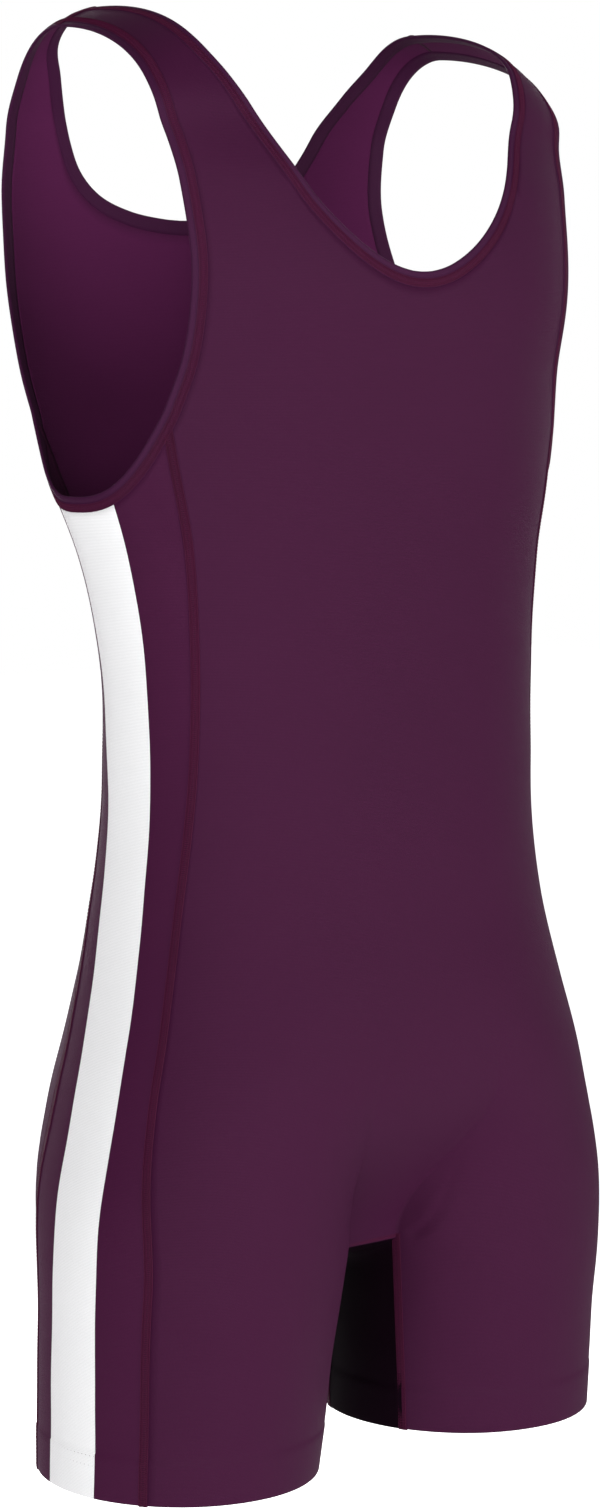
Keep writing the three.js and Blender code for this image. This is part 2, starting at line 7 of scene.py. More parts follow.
import bmesh
import bpy
import numpy as np
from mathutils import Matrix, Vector


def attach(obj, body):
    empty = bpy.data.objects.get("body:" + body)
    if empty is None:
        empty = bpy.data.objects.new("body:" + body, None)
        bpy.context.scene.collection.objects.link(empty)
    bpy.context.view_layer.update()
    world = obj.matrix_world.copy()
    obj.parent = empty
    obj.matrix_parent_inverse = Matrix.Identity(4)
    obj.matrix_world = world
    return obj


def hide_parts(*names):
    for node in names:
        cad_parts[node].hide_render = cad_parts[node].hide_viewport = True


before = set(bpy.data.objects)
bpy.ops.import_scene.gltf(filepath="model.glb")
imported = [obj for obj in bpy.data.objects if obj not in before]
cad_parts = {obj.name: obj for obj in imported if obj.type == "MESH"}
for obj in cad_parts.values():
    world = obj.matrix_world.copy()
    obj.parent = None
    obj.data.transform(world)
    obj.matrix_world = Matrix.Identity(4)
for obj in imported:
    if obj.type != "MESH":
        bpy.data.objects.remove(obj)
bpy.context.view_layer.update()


# Front panel
# One piece of stretch knit from the shoulder seams to the leg hems, cut low at the neck and deep
# at the arms. Its bottom is turned up inside each leg, and a short strip ends at the crotch.
MM = 0.001
CLOTH = 0.9

# The shoulder tops are quarter rounds, the trunk's sections are rounded squares, and the outer
# sides of the straps fall away a little
SHOULDER_ROUND = 60.0
SQUARENESS = 2.3
SHOULDER_FALL = {"from": 105.0, "over": 30.0, "depth": 8.0, "gone": 110.0}

# How low the crotch lies and where the trunk starts to turn into thighs; the share of the turn
# that the strip between the thighs takes, and how far round each thigh the strip starts
CROTCH_DOWN = 695.0
THIGH_START_DOWN = 500.0
CROTCH_HOLLOW = {"start_down": 580.0, "start_lean": 0.35}
STRIP_TURN = 0.06
LEAN_IN = math.radians(67.0)

# Heights down and widths of the edges; "fold" is the radius of the hem's fold
HEM = {"down": 812.0, "turned": 25.0, "step": 0.8, "proud": 0.4, "fold": 0.95, "rows": 7}
ARMHOLE = {"corner": 222.0, "bottom": 268.0, "fullness": 2.4}
NECK_TURN = {"front": 96.0, "back": 80.0}
BINDING_WIDTH = 9.0
EDGE_SAMPLES = 240
LENGTH_SAMPLES = 4 * EDGE_SAMPLES


def table(columns, *rows):
    return dict(zip(columns.split(), np.array(rows, float).T))


# Body sections down from the shoulder tops: half width, how far back the widest point lies, and
# the depths from there to the centre front and the centre back
SECTIONS = table(
    "down half side front back",
    (0, 163, 40, 144, 64),
    (30, 195, 48, 116, 48),
    (60, 188, 50, 122, 55),
    (100, 187, 45, 134, 67),
    (150, 188, 32, 131, 71),
    (200, 184, 20, 115, 67),
    (250, 172, 8, 98, 58),
    (300, 157, -2, 87, 53),
    (350, 147, -8, 83, 55),
    (400, 142, -10, 86, 63),
    (450, 141, -10, 91, 73),
    (500, 145, -10, 98, 86),
    (550, 154, -12, 107, 98),
    (600, 164, -14, 113, 108),
    (650, 169, -12, 113, 113),
    (700, 170, -5, 107, 115),
)

# How square the front half of a section is; the shoulders are squarer than the rest
FRONT_SQUARENESS = table(
    "down power",
    (0, 3.2), (30, 4.4), (60, 3.6), (100, 3), (150, 2.6), (200, SQUARENESS), (250, SQUARENESS),
)

# Leg sections: how far out and back the middle lies, half width, depths to the front and back
LEGS = table(
    "down out wide front back set",
    (THIGH_START_DOWN, 80, 72, 92, 100, -20),
    (600, 90, 81, 92, 107, -20),
    (650, 97, 85, 90, 99, -20),
    (CROTCH_DOWN, 101, 85, 88, 88, -20),
    (750, 104, 81, 85, 83, -17),
    (HEM["down"], 107, 77, 82, 82, -14),
)

# Cut edges at the neck and arms, by the distance down and the distance from the middle line
NECK_FRONT = table(
    "down across",
    (0, 118), (22, 115.5), (44, 105.5), (66, 93.5), (88, 81), (110, 66), (130, 44),
    (141.5, 23), (145.5, 8), (146, 0),
)
ARM_FRONT = table(
    "down across",
    (0, 143.5), (39, 151), (78, 146), (116, 142.5), (154, 140.5), (193, 141), (ARMHOLE["corner"], 147),
)
ARM_BACK = table(
    "down across",
    (0, 143.5), (39, 142.5), (78, 143), (116, 145.5), (154, 151), (193, 155), (ARMHOLE["corner"], 156),
)

# Side seams, as the share of the half section from centre front (0) to centre back (1)
SEAMS = table(
    "down front back",
    (ARMHOLE["corner"], 0.291, 0.678),
    (285, 0.297, 0.69),
    (350, 0.321, 0.677),
    (420, 0.35, 0.65),
    (490, 0.378, 0.622),
    (560, 0.394, 0.606),
    (640, 0.404, 0.596),
    (720, 0.405, 0.595),
    (HEM["down"], 0.401, 0.599),
)

# The distance along the cloth from the shoulder top, and the height that it stands for
ROUND_LENGTH = SHOULDER_ROUND * math.pi / 2


def down_at(along):
    rounded = SHOULDER_ROUND * (1 - np.cos(np.minimum(along, ROUND_LENGTH) / SHOULDER_ROUND))
    return np.where(along < ROUND_LENGTH, rounded, along - ROUND_LENGTH + SHOULDER_ROUND)


def along_at(down):
    rounded = SHOULDER_ROUND * np.arccos(np.clip(1 - np.asarray(down) / SHOULDER_ROUND, 0, 1))
    return np.where(down < SHOULDER_ROUND, rounded, down - SHOULDER_ROUND + ROUND_LENGTH)


def mix(a, b, t):
    return a + (b - a) * t


def ease(t):
    t = np.clip(t, 0, 1)
    return t * t * (3 - 2 * t)


def smoother(t):
    """Like ease, with no jump in curvature at either end; t lies between 0 and 1."""
    return t**3 * (t * (6 * t - 15) + 10)


def smooth_column(rows, column):
    """A smooth line through a table's column, over the distance along the cloth."""
    xs = along_at(rows["down"])
    ys = rows[column]
    number = np.arange(len(xs))
    before = np.maximum(number - 1, 0)
    after = np.minimum(number + 1, len(xs) - 1)
    slopes = (ys[after] - ys[before]) / (xs[after] - xs[before])

    def value(x):
        i = np.minimum(np.searchsorted(xs[1:], x), len(xs) - 2)
        span = xs[i + 1] - xs[i]
        t = np.clip((x - xs[i]) / span, 0, 1)
        rise = ys[i + 1] - ys[i]
        leave = slopes[i] * span - rise
        arrive = slopes[i + 1] * span - rise
        return ys[i] + rise * t + t * (1 - t) * ((1 - t) * leave - t * arrive)

    return value


section = {name: smooth_column(SECTIONS, name) for name in ("half", "side", "front", "back")}
leg = {name: smooth_column(LEGS, name) for name in ("out", "wide", "front", "back", "set")}
front_power = smooth_column(FRONT_SQUARENESS, "power")
seam_turn = {name: smooth_column(SEAMS, name) for name in ("front", "back")}


def squareness(along, to_front):
    return np.where(to_front, front_power(along), SQUARENESS)


def torso_point(along, turn):
    """Torso surface of the right half; turn runs from centre front (0) to centre back (1)."""
    angle = math.pi * turn
    forward = np.cos(angle)
    power = 2 / squareness(along, forward > 0)
    lift = np.sin(np.minimum(along, ROUND_LENGTH) / SHOULDER_ROUND)
    across = section["half"](along) * np.abs(np.sin(angle)) ** power
    reach = np.where(forward > 0, -section["front"](along), section["back"](along))
    depth = lift * reach * np.abs(forward) ** power
    down = down_at(along)
    outside = np.maximum(across - SHOULDER_FALL["from"], 0) / SHOULDER_FALL["over"]
    fall = SHOULDER_FALL["depth"] * outside**2 * (1 - ease(down / SHOULDER_FALL["gone"]))
    return np.stack([-across, section["side"](along) + depth, -down - fall], -1)


def leg_point(down, angle):
    """A point of the right leg's oval; angle 0 faces forward and a quarter turn faces out."""
    along = along_at(down)
    forward = np.cos(angle)
    depth = np.where(forward > 0, leg["front"](along), leg["back"](along)) * forward
    across = -leg["out"](along) - leg["wide"](along) * np.sin(angle)
    return np.stack(np.broadcast_arrays(across, leg["set"](along) - depth, -down), -1)


def thigh_point(down, turn):
    """The leg by the same turn as the torso, with the crotch strip at both ends of the turn."""
    inside = np.clip(turn, STRIP_TURN, 1 - STRIP_TURN)
    share = (inside - STRIP_TURN) / (1 - 2 * STRIP_TURN)
    hollow = ease((down - CROTCH_HOLLOW["start_down"]) / (CROTCH_DOWN - CROTCH_HOLLOW["start_down"]))
    lean = LEAN_IN * mix(CROTCH_HOLLOW["start_lean"], 1, hollow)
    point = leg_point(down, -lean + (math.pi + 2 * lean) * share)
    point[..., 0] *= np.minimum(np.minimum(turn, 1 - turn), STRIP_TURN) / STRIP_TURN
    return point


def form(along, turn):
    """The whole right half of the garment's form."""
    along, turn = np.broadcast_arrays(np.asarray(along, float), np.asarray(turn, float))
    down = down_at(along)
    t = np.clip((down - THIGH_START_DOWN) / (CROTCH_DOWN - THIGH_START_DOWN), 0, 1)
    return mix(torso_point(along, turn), thigh_point(down, turn), smoother(t)[..., None])


PROBE_ALONG = 0.2
PROBE_TURN = 0.0005


def slopes_at(along, turn):
    step = np.where(turn < 0.5, PROBE_TURN, -PROBE_TURN)
    here = form(along, turn)
    by_along = (form(along + PROBE_ALONG, turn) - here) / PROBE_ALONG
    by_turn = (form(along, turn + step) - here) / step[..., None]
    return by_along, by_turn


def unit(vectors):
    return vectors / np.linalg.norm(vectors, axis=-1, keepdims=True)


def lengths_along(points):
    """The length of a line, or of each line of a grid, from its start to each of its points."""
    steps = np.linalg.norm(np.diff(points, axis=-2), axis=-1)
    return np.concatenate([np.zeros((*steps.shape[:-1], 1)), np.cumsum(steps, -1)], -1)


def form_normal(along, turn):
    by_along, by_turn = slopes_at(along, turn)
    normal = np.cross(by_turn, by_along)
    normal[..., 0] = np.where((turn == 0) | (turn == 1), 0, normal[..., 0])
    return unit(normal)


def turn_at(along, across, to_front):
    share = np.minimum(across / section["half"](along), 1)
    turn = np.arcsin(share ** (squareness(along, to_front) / 2)) / math.pi
    return turn if to_front else 1 - turn


def curve_through(points, count):
    """A centripetal curve through a few points, as closely spaced points."""
    ends = np.vstack([2 * points[0] - points[1], points, 2 * points[-1] - points[-2]])
    t = np.linspace(0, len(points) - 1, count + 1)
    i = np.minimum(t.astype(int), len(points) - 2)
    w = (t - i)[:, None]
    p0, p1, p2, p3 = (ends[i + k] for k in range(4))
    d0, d1, d2 = (
        np.sqrt(np.linalg.norm(b - a, axis=1, keepdims=True)) for a, b in ((p0, p1), (p1, p2), (p2, p3))
    )
    leave = ((p1 - p0) / d0 - (p2 - p0) / (d0 + d1) + (p2 - p1) / d1) * d1
    arrive = ((p2 - p1) / d1 - (p3 - p1) / (d1 + d2) + (p3 - p2) / d2) * d1
    rise = p2 - p1
    return p1 + rise * w + w * (1 - w) * ((1 - w) * (leave - rise) - w * (arrive - rise))


def edge_of(rows, to_front):
    """A strap's edge as closely spaced places on the form, from the shoulder down."""
    line = curve_through(np.stack([along_at(rows["down"]), rows["across"]], 1), EDGE_SAMPLES)
    along, across = np.maximum(line, 0).T
    return np.stack([along, turn_at(along, across, to_front)], 1)


def armhole_bottom():
    """The bottom of the armhole, on the side panel, from its front seam to its back seam."""
    corner = along_at(ARMHOLE["corner"])
    start = turn_at(corner, ARM_FRONT["across"][-1], True)
    end = turn_at(corner, ARM_BACK["across"][-1], False)
    turn = np.linspace(start, end, EDGE_SAMPLES + 1)[1:-1]
    away = np.abs(turn - (start + end) / 2) / ((end - start) / 2)
    down = mix(ARMHOLE["bottom"], ARMHOLE["corner"], away ** ARMHOLE["fullness"])
    return np.stack([along_at(down), turn], 1)


neck_front_edge = edge_of(NECK_FRONT, True)
arm_edge = np.vstack([edge_of(ARM_FRONT, True), armhole_bottom(), edge_of(ARM_BACK, False)[::-1]])


def moved_within(line, distance, closed):
    """A line moved sideways within the cloth, to the left of its direction as seen from outside."""
    steps = 3
    places = line
    for _ in range(steps):
        along, turn = places.T
        points = form(along, turn)
        before = np.vstack([points[-2] if closed else points[0], points[:-1]])
        after = np.vstack([points[1:], points[1] if closed else points[-1]])
        by_along, by_turn = slopes_at(along, turn)
        normal = unit(np.cross(by_turn, by_along))
        move = unit(np.cross(normal, unit(after - before))) * distance / steps
        aa = (by_along**2).sum(1)
        ab = (by_along * by_turn).sum(1)
        bb = (by_turn**2).sum(1)
        a = (by_along * move).sum(1)
        b = (by_turn * move).sum(1)
        size = aa * bb - ab * ab
        places = places + np.stack([(a * bb - b * ab) / size, (b * aa - a * ab) / size], 1)
    return places


def trimmed(line, middle_turn=None):
    """A moved edge whose ends are back on the shoulder top and, at the neck, the middle line."""
    line = line.copy()
    line[:, 0] = np.maximum(line[:, 0], 0)
    line[0, 0] = 0
    if middle_turn is None:
        line[-1, 0] = 0
    else:
        line[-1, 1] = middle_turn
    return line


def neck_front(distance):
    return trimmed(moved_within(neck_front_edge, -distance, False), 0)


def armhole(distance):
    return trimmed(moved_within(arm_edge, distance, True))


def place_on(line, at):
    samples = np.arange(len(line))
    return np.stack([np.interp(at, samples, line[:, 0]), np.interp(at, samples, line[:, 1])], -1)


def reach_of(measure, value, first=0):
    """The fractional sample number where a rising measure reaches a value."""
    i = first + int(np.argmax(measure[first + 1:] >= value))
    return i + (value - measure[i]) / (measure[i + 1] - measure[i])


def even_samples(line, start, end, count):
    """Sample numbers that cut a stretch of a line into equal lengths of cloth."""
    fine = np.linspace(start, end, LENGTH_SAMPLES)
    lengths = lengths_along(form(*place_on(line, fine).T))
    return np.interp(np.linspace(0, lengths[-1], count + 1), lengths, fine)


# Soft tension creases, by side (-1 right), three places (down, turn), depth and half width. The
# one that shows best runs up from the left corner of the crotch.
CREASES = table(
    "side down_a turn_a down_b turn_b down_c turn_c depth width",
    (1, 694, 0.07, 671, 0.0995, 628, 0.055, 1.5, 3.2),
    (-1, 694, 0.066, 676, 0.1, 652, 0.14, 1.3, 7),
    (1, 690, 0.075, 652, 0.075, 618, 0.09, 0.9, 9),
    (1, 694, 0.934, 662, 0.885, 628, 0.84, 2.2, 8),
    (-1, 694, 0.934, 668, 0.9, 640, 0.86, 1.7, 8),
    (-1, 455, 0.7, 448, 0.82, 452, 0.93, 0.8, 10),
    (1, 447, 0.68, 436, 0.79, 439, 0.9, 1.0, 11),
    (1, 478, 0.72, 470, 0.84, 476, 0.97, 0.7, 9),
    (-1, 262, 0.36, 292, 0.33, 322, 0.29, 0.8, 9),
    (1, 262, 0.36, 288, 0.335, 316, 0.3, 0.7, 9),
    (1, 272, 0.62, 300, 0.68, 318, 0.75, 0.8, 9),
    (-1, 272, 0.62, 304, 0.67, 330, 0.73, 0.9, 9),
)
CREASE_SAMPLES = 25
CREASE_START = 0.12
CREASE_NEAR = 140.0
CREASE_LIPS = {"widths": 2.3, "share": 0.5}


def crease_lines():
    """Every crease as points on the form and the share of its depth that it has at each."""
    t = np.linspace(0, 1, CREASE_SAMPLES)
    bends = np.stack([(1 - t) * (1 - 2 * t), 4 * t * (1 - t), t * (2 * t - 1)])
    lines = []
    for row in zip(*CREASES.values()):
        side, down_a, turn_a, down_b, turn_b, down_c, turn_c, depth, width = row
        down = np.array([down_a, down_b, down_c]) @ bends
        turn = np.array([turn_a, turn_b, turn_c]) @ bends
        points = form(along_at(down), turn) * (-side, 1, 1)
        lines.append((points, ease(t / CREASE_START) * (1 - ease(t)), depth, width))
    return lines


crease_paths = crease_lines()

# Long shallow waves of slack in the cloth: height, and waves per metre across, deep and down
SLACK = table("height x y z", (0.22, 5.1, 3.3, 7.9), (0.16, -8.7, 6.1, 12.3), (0.1, 14.0, -9.0, 19.0))


# The relief fades out this near to the crotch seams, so that what is sewn there still meets
GUARD_REACH = 6.0
CROTCH_STEPS = 30


def crotch_line(toward):
    """The crotch seam, front (-1) or back (1), from the right leg to the left."""
    turn = STRIP_TURN if toward < 0 else 1 - STRIP_TURN
    corner = form(along_at(CROTCH_DOWN), turn)
    return mix(corner, corner * [-1, 1, 1], np.linspace(0, 1, CROTCH_STEPS + 1)[:, None])


seam_guard = np.vstack([crotch_line(-1), crotch_line(1)])


def relief(points):
    """How far creases and slack move the cloth out of its form, at points in millimetres."""
    flat = points.reshape(-1, 3)
    total = np.zeros(len(flat))
    for height, *waves in zip(*SLACK.values()):
        total += height * np.sin(2 * math.pi * flat @ np.array(waves) * MM)
    for path, shares, depth, width in crease_paths:
        near = np.nonzero(np.linalg.norm(flat - path.mean(0), axis=1) < CREASE_NEAR)[0]
        distance = np.linalg.norm(flat[near, None] - path[None], axis=2)
        trough = (shares * np.exp(-((distance / width) ** 2))).max(1, initial=0)
        lip_width = CREASE_LIPS["widths"] * width
        lips = (shares * np.exp(-((distance / lip_width) ** 2))).max(1, initial=0)
        total[near] -= depth * mix(trough, lips, -CREASE_LIPS["share"])
    near = np.nonzero(np.abs(flat[:, 2] + CROTCH_DOWN) < 3 * GUARD_REACH)[0]
    distance = np.linalg.norm(flat[near, None] - seam_guard[None], axis=2).min(1, initial=np.inf)
    total[near] *= ease(distance / GUARD_REACH)
    return total.reshape(points.shape[:-1])


def skin(places, out=0.0, side=-1):
    """Points and normals of the cloth's face at places; side 1 gives the mirrored left half."""
    along, turn = np.moveaxis(places, -1, 0)
    mirror = np.array([-side, 1, 1])
    points = form(along, turn) * mirror
    normals = form_normal(along, turn) * mirror
    lift = np.asarray(relief(points) + out)
    return points + normals * lift[..., None], normals


def hem_rows():
    """Rows round the turned-up hem: how far down and out of the form. The cloth steps out where it
    is double, folds at the bottom and runs up inside."""
    top = HEM["down"] - HEM["turned"]
    centre = HEM["down"] - HEM["fold"]
    middle = HEM["proud"] - HEM["fold"]
    outside = [(down, HEM["proud"]) for down in np.linspace(top, centre, HEM["rows"])]
    fold = [
        (centre + HEM["fold"] * math.sin(a), middle + HEM["fold"] * math.cos(a))
        for a in np.linspace(0, math.pi, HEM["rows"])[1:-1]
    ]
    inside = [(down, HEM["proud"] - 2 * HEM["fold"]) for down in np.linspace(centre, top, HEM["rows"])]
    return outside + fold + inside


# Rows and columns of the panels. Below the neck the columns settle into even shares, over a
# stretch of cloth, and rows and columns are finer near the crotch.
LEG_ROWS = 26
TORSO_ROWS = 150
CHEST_ROWS = 20
STRAP_ROWS = 40
STRAP_COLUMNS = 12
NECK_COLUMNS = 38
STRIP_COLUMNS = 14
COLUMNS = NECK_COLUMNS + STRAP_COLUMNS
COLUMN_SETTLING = 260.0
CROTCH_FINENESS = 0.4
UNDERLAP = 0.8
PANEL_LINE = BINDING_WIDTH - UNDERLAP
leg_rows = [
    (down, 0.0)
    for down in np.linspace(CROTCH_DOWN, HEM["down"] - HEM["turned"] - HEM["step"], LEG_ROWS + 1)[1:]
] + hem_rows()
leg_along = along_at(np.array([down for down, _ in leg_rows]))
leg_outs = np.array([out for _, out in leg_rows])


def finer_at_start(count):
    """Shares from 0 to 1 whose first steps are smaller than the rest."""
    t = np.linspace(0, 1, count + 1)
    return t * mix(CROTCH_FINENESS, 1, t)


def half_panel(to_front, neck_line, arm_line):
    """Places of half a panel, from the middle line out and from the shoulder to the hem."""
    name = "front" if to_front else "back"

    def turn_of(share):
        return share if to_front else 1 - share

    def seam_at(along):
        return turn_of(seam_turn[name](along))

    neck_corner = reach_of(neck_line[:, 0], along_at(NECK_TURN[name]))
    corner_along = place_on(neck_line, neck_corner)[0]
    arm_middle = reach_of(arm_line[:, 0], corner_along)
    past_seam = turn_of(arm_line[:, 1]) - seam_at(arm_line[:, 0])
    arm_corner = reach_of(past_seam, 0, math.ceil(arm_middle))

    across = np.linspace(0, 1, STRAP_COLUMNS + 1)[None, :, None]
    necks = place_on(neck_line, even_samples(neck_line, 0, neck_corner, STRAP_ROWS))
    arms = place_on(arm_line, even_samples(arm_line, 0, arm_middle, STRAP_ROWS))
    strap = mix(necks[:, None], arms[:, None], across)
    cut_away = np.full((STRAP_ROWS, NECK_COLUMNS, 2), np.nan)
    low_neck = even_samples(neck_line, neck_corner, len(neck_line) - 1, NECK_COLUMNS)
    starts = np.vstack([place_on(neck_line, low_neck)[::-1], strap[-1, 1:]])

    crotch_along = along_at(CROTCH_DOWN)
    low_arm = place_on(arm_line, even_samples(arm_line, arm_middle, arm_corner, CHEST_ROWS)[1:])
    seam_alongs = mix(crotch_along, low_arm[-1, 0], finer_at_start(TORSO_ROWS)[::-1])
    outer_along = np.append(low_arm[:, 0], seam_alongs[1:])[:, None]
    outer_share = np.append(turn_of(low_arm[:, 1]), seam_at(seam_alongs[1:]))[:, None]
    first_along = strap[-1, -1, 0]
    progress = (outer_along - first_along) / (crotch_along - first_along)
    along = mix(starts[:, 0], crotch_along, progress)
    above = turn_of(starts[:, 1]) / turn_of(starts[-1, 1]) * outer_share
    in_strip = np.full((len(outer_share), 1), STRIP_TURN) * np.arange(STRIP_COLUMNS) / STRIP_COLUMNS
    past_shares = finer_at_start(COLUMNS - STRIP_COLUMNS)
    below = np.concatenate([in_strip, mix(STRIP_TURN, outer_share, past_shares)], 1)
    share = mix(above, below, ease((along - starts[:, 0]) / COLUMN_SETTLING))
    body = np.stack([along, turn_of(share)], -1)

    leg_share = mix(STRIP_TURN, seam_at(leg_along)[:, None], past_shares)
    legs = np.full((len(leg_along), COLUMNS + 1, 2), np.nan)
    legs[:, STRIP_COLUMNS:] = np.stack(np.broadcast_arrays(leg_along[:, None], turn_of(leg_share)), -1)
    places = np.concatenate(
        [np.concatenate([cut_away, strap[:-1]], 1), starts[None], body, legs]
    )
    outs = np.append(np.zeros(len(places) - len(legs)), leg_outs)
    return places, outs[:, None], seam_alongs


ROUND_STEPS = 12


def round_the_form(places):
    """The distance round the body from the nearer middle line to each place."""
    along, turn = np.moveaxis(places, -1, 0)
    shares = np.linspace(0, 1, ROUND_STEPS + 1)[:, None, None]
    middle = np.where(turn < 0.5, 0.0, 1.0)
    points = form(along[None], mix(middle[None], turn[None], shares))
    return np.linalg.norm(np.diff(points, axis=0), axis=-1).sum(0)


def both_halves(places, outs):
    """Points, normals and cloth coordinates of a panel that crosses the middle line."""
    right, right_normals = skin(places, outs, -1)
    left, left_normals = skin(places, outs, 1)
    around = round_the_form(places)
    points = np.concatenate([right[:, ::-1], left[:, 1:]], 1)
    normals = np.concatenate([right_normals[:, ::-1], left_normals[:, 1:]], 1)
    across = np.concatenate([-around[:, ::-1], around[:, 1:]], 1)
    along = np.concatenate([places[:, ::-1, 0], places[:, 1:, 0]], 1)
    return points, normals, np.stack([across, along], -1)


def cloth_grid(points, normals, cloth_map, marked=()):
    """A grid of cloth; missing points are cut away and marked columns take the second material."""
    rows, columns = points.shape[:2]
    bm = bmesh.new()
    bmesh.ops.create_grid(bm, x_segments=columns - 1, y_segments=rows - 1, size=0.5)
    uv = bm.loops.layers.uv.new("cloth")
    places = {}
    for vert in bm.verts:
        column = round((vert.co.x + 0.5) * (columns - 1))
        row = round((vert.co.y + 0.5) * (rows - 1))
        places[vert] = (row, column)
    for face in bm.faces:
        face.smooth = True
        face.material_index = int(min(places[vert][1] for vert in face.verts) in marked)
        for loop in face.loops:
            loop[uv].uv = cloth_map[places[loop.vert]] * MM
    gone = [vert for vert, place in places.items() if np.isnan(points[place][0])]
    for vert, place in places.items():
        if not np.isnan(points[place][0]):
            vert.co = points[place] * MM
    outward = {vert: normals[place] for vert, place in places.items()}
    bmesh.ops.delete(bm, geom=gone, context="VERTS")
    bm.normal_update()
    facing = sum(vert.normal.dot(Vector(outward[vert])) for vert in bm.verts)
    if facing < 0:
        bmesh.ops.reverse_faces(bm, faces=bm.faces)
    return bm


def piece_from(name, bm, slot, *materials):
    """A mesh as a piece of the garment that rides on its one body."""
    mesh = bpy.data.meshes.new(name)
    bm.to_mesh(mesh)
    bm.free()
    piece = bpy.data.objects.new(name, mesh)
    bpy.context.scene.collection.objects.link(piece)
    for material in materials:
        mesh.materials.append(material)
    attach(piece, "root")
    return piece


def thickened(piece, reverse=0):
    """The cloth's thickness, inwards from its face; the reverse may have its own material."""
    wall = piece.modifiers.new("cloth", "SOLIDIFY")
    wall.material_offset = reverse
    wall.thickness = CLOTH * MM
    wall.offset = -1
    wall.use_rim = True
    return piece


def node_group(name, inputs, outputs):
    """An empty node group; inputs are (name, kind, value) and outputs (name, kind)."""
    group = bpy.data.node_groups.new(name, "ShaderNodeTree")
    for label, kind, value in inputs:
        socket = group.interface.new_socket(label, in_out="INPUT", socket_type=kind)
        if value is not None:
            socket.default_value = value
    for label, kind in outputs:
        group.interface.new_socket(label, in_out="OUTPUT", socket_type=kind)
    return group, group.nodes.new("NodeGroupInput").outputs, group.nodes.new("NodeGroupOutput").inputs


def math_node(tree, operation, a, b=None, c=None):
    """A Math node whose operands are sockets or numbers; returns its output."""
    node = tree.nodes.new("ShaderNodeMath")
    node.operation = operation
    for socket, value in zip(node.inputs, (a, b, c)):
        if isinstance(value, bpy.types.NodeSocket):
            tree.links.new(value, socket)
        elif value is not None:
            socket.default_value = value
    return node.outputs[0]


# Knit loops: the lean of their legs in radians, how high the gaps between wales stay, the shade of
# their hollows, and loops a millimetre down and across the cloth
LOOP = {"lean": 3.8, "gap": 0.45, "shade": 0.15, "courses": 1.25, "wales": 1.5}


def knit_group():
    """Rows of small loops: courses lie across the cloth and wales run down it."""
    group, given, wanted = node_group(
        "knit_loops",
        [("Cloth", "NodeSocketVector", None),
         ("Courses", "NodeSocketFloat", 2 * math.pi * LOOP["courses"] / MM),
         ("Wales", "NodeSocketFloat", math.pi * LOOP["wales"] / MM)],
        [("Height", "NodeSocketFloat"), ("Shade", "NodeSocketFloat")],
    )
    split = group.nodes.new("ShaderNodeSeparateXYZ")
    group.links.new(given["Cloth"], split.inputs[0])
    wale_angle = math_node(group, "MULTIPLY", split.outputs["X"], given["Wales"])
    wale = math_node(group, "ABSOLUTE", math_node(group, "SINE", wale_angle))
    course_angle = math_node(group, "MULTIPLY", split.outputs["Y"], given["Courses"])
    leaning = math_node(group, "MULTIPLY_ADD", wale, LOOP["lean"], course_angle)
    course = math_node(group, "MULTIPLY_ADD", math_node(group, "SINE", leaning), 0.5, 0.5)
    crown = math_node(group, "MULTIPLY_ADD", wale, 1 - LOOP["gap"], LOOP["gap"])
    height = math_node(group, "MULTIPLY", course, crown)
    group.links.new(height, wanted["Height"])
    shade = math_node(group, "MULTIPLY_ADD", height, 2 * LOOP["shade"], 1 - LOOP["shade"])
    group.links.new(shade, wanted["Shade"])
    return group


def dye_group():
    """Slow cloudy changes of the dye and fine flecks of the yarn, around 1."""
    group, given, wanted = node_group(
        "dye_and_yarn",
        [("Position", "NodeSocketVector", None), ("Clouds", "NodeSocketFloat", 9.0),
         ("Flecks", "NodeSocketFloat", 900.0), ("Amount", "NodeSocketFloat", 0.12)],
        [("Tone", "NodeSocketFloat")],
    )
    tones = []
    for scale, detail in (("Clouds", 3.0), ("Flecks", 1.0)):
        noise = group.nodes.new("ShaderNodeTexNoise")
        noise.inputs["Detail"].default_value = detail
        group.links.new(given["Position"], noise.inputs["Vector"])
        group.links.new(given[scale], noise.inputs["Scale"])
        tones.append(math_node(group, "SUBTRACT", noise.outputs["Fac"], 0.5))
    both = math_node(group, "ADD", tones[0], tones[1])
    group.links.new(math_node(group, "MULTIPLY_ADD", both, given["Amount"], 1.0), wanted["Tone"])
    return group


knit_loops = knit_group()
dye_and_yarn = dye_group()


BUMP_STRENGTH = 0.7
SHEEN = {"roughness": 0.45, "tint": (0.55, 0.2, 0.42, 1)}


def dyed_shader(name, colour, tone_amount):
    """A material whose colour a tone multiplies; the caller links the tone to the tint node's B."""
    material = bpy.data.materials.new(name)
    material.use_nodes = True
    tree = material.node_tree
    place = tree.nodes.new("ShaderNodeTexCoord")
    dye = tree.nodes.new("ShaderNodeGroup")
    dye.node_tree = dye_and_yarn
    dye.inputs["Amount"].default_value = tone_amount
    tree.links.new(place.outputs["Object"], dye.inputs["Position"])
    tint = tree.nodes.new("ShaderNodeMix")
    tint.data_type = "RGBA"
    tint.blend_type = "MULTIPLY"
    tint.inputs["Factor"].default_value = 1.0
    tint.inputs["A"].default_value = (*colour, 1)
    shader = tree.nodes["Principled BSDF"]
    tree.links.new(tint.outputs["Result"], shader.inputs["Base Color"])
    return material, tree, shader, place, dye, tint


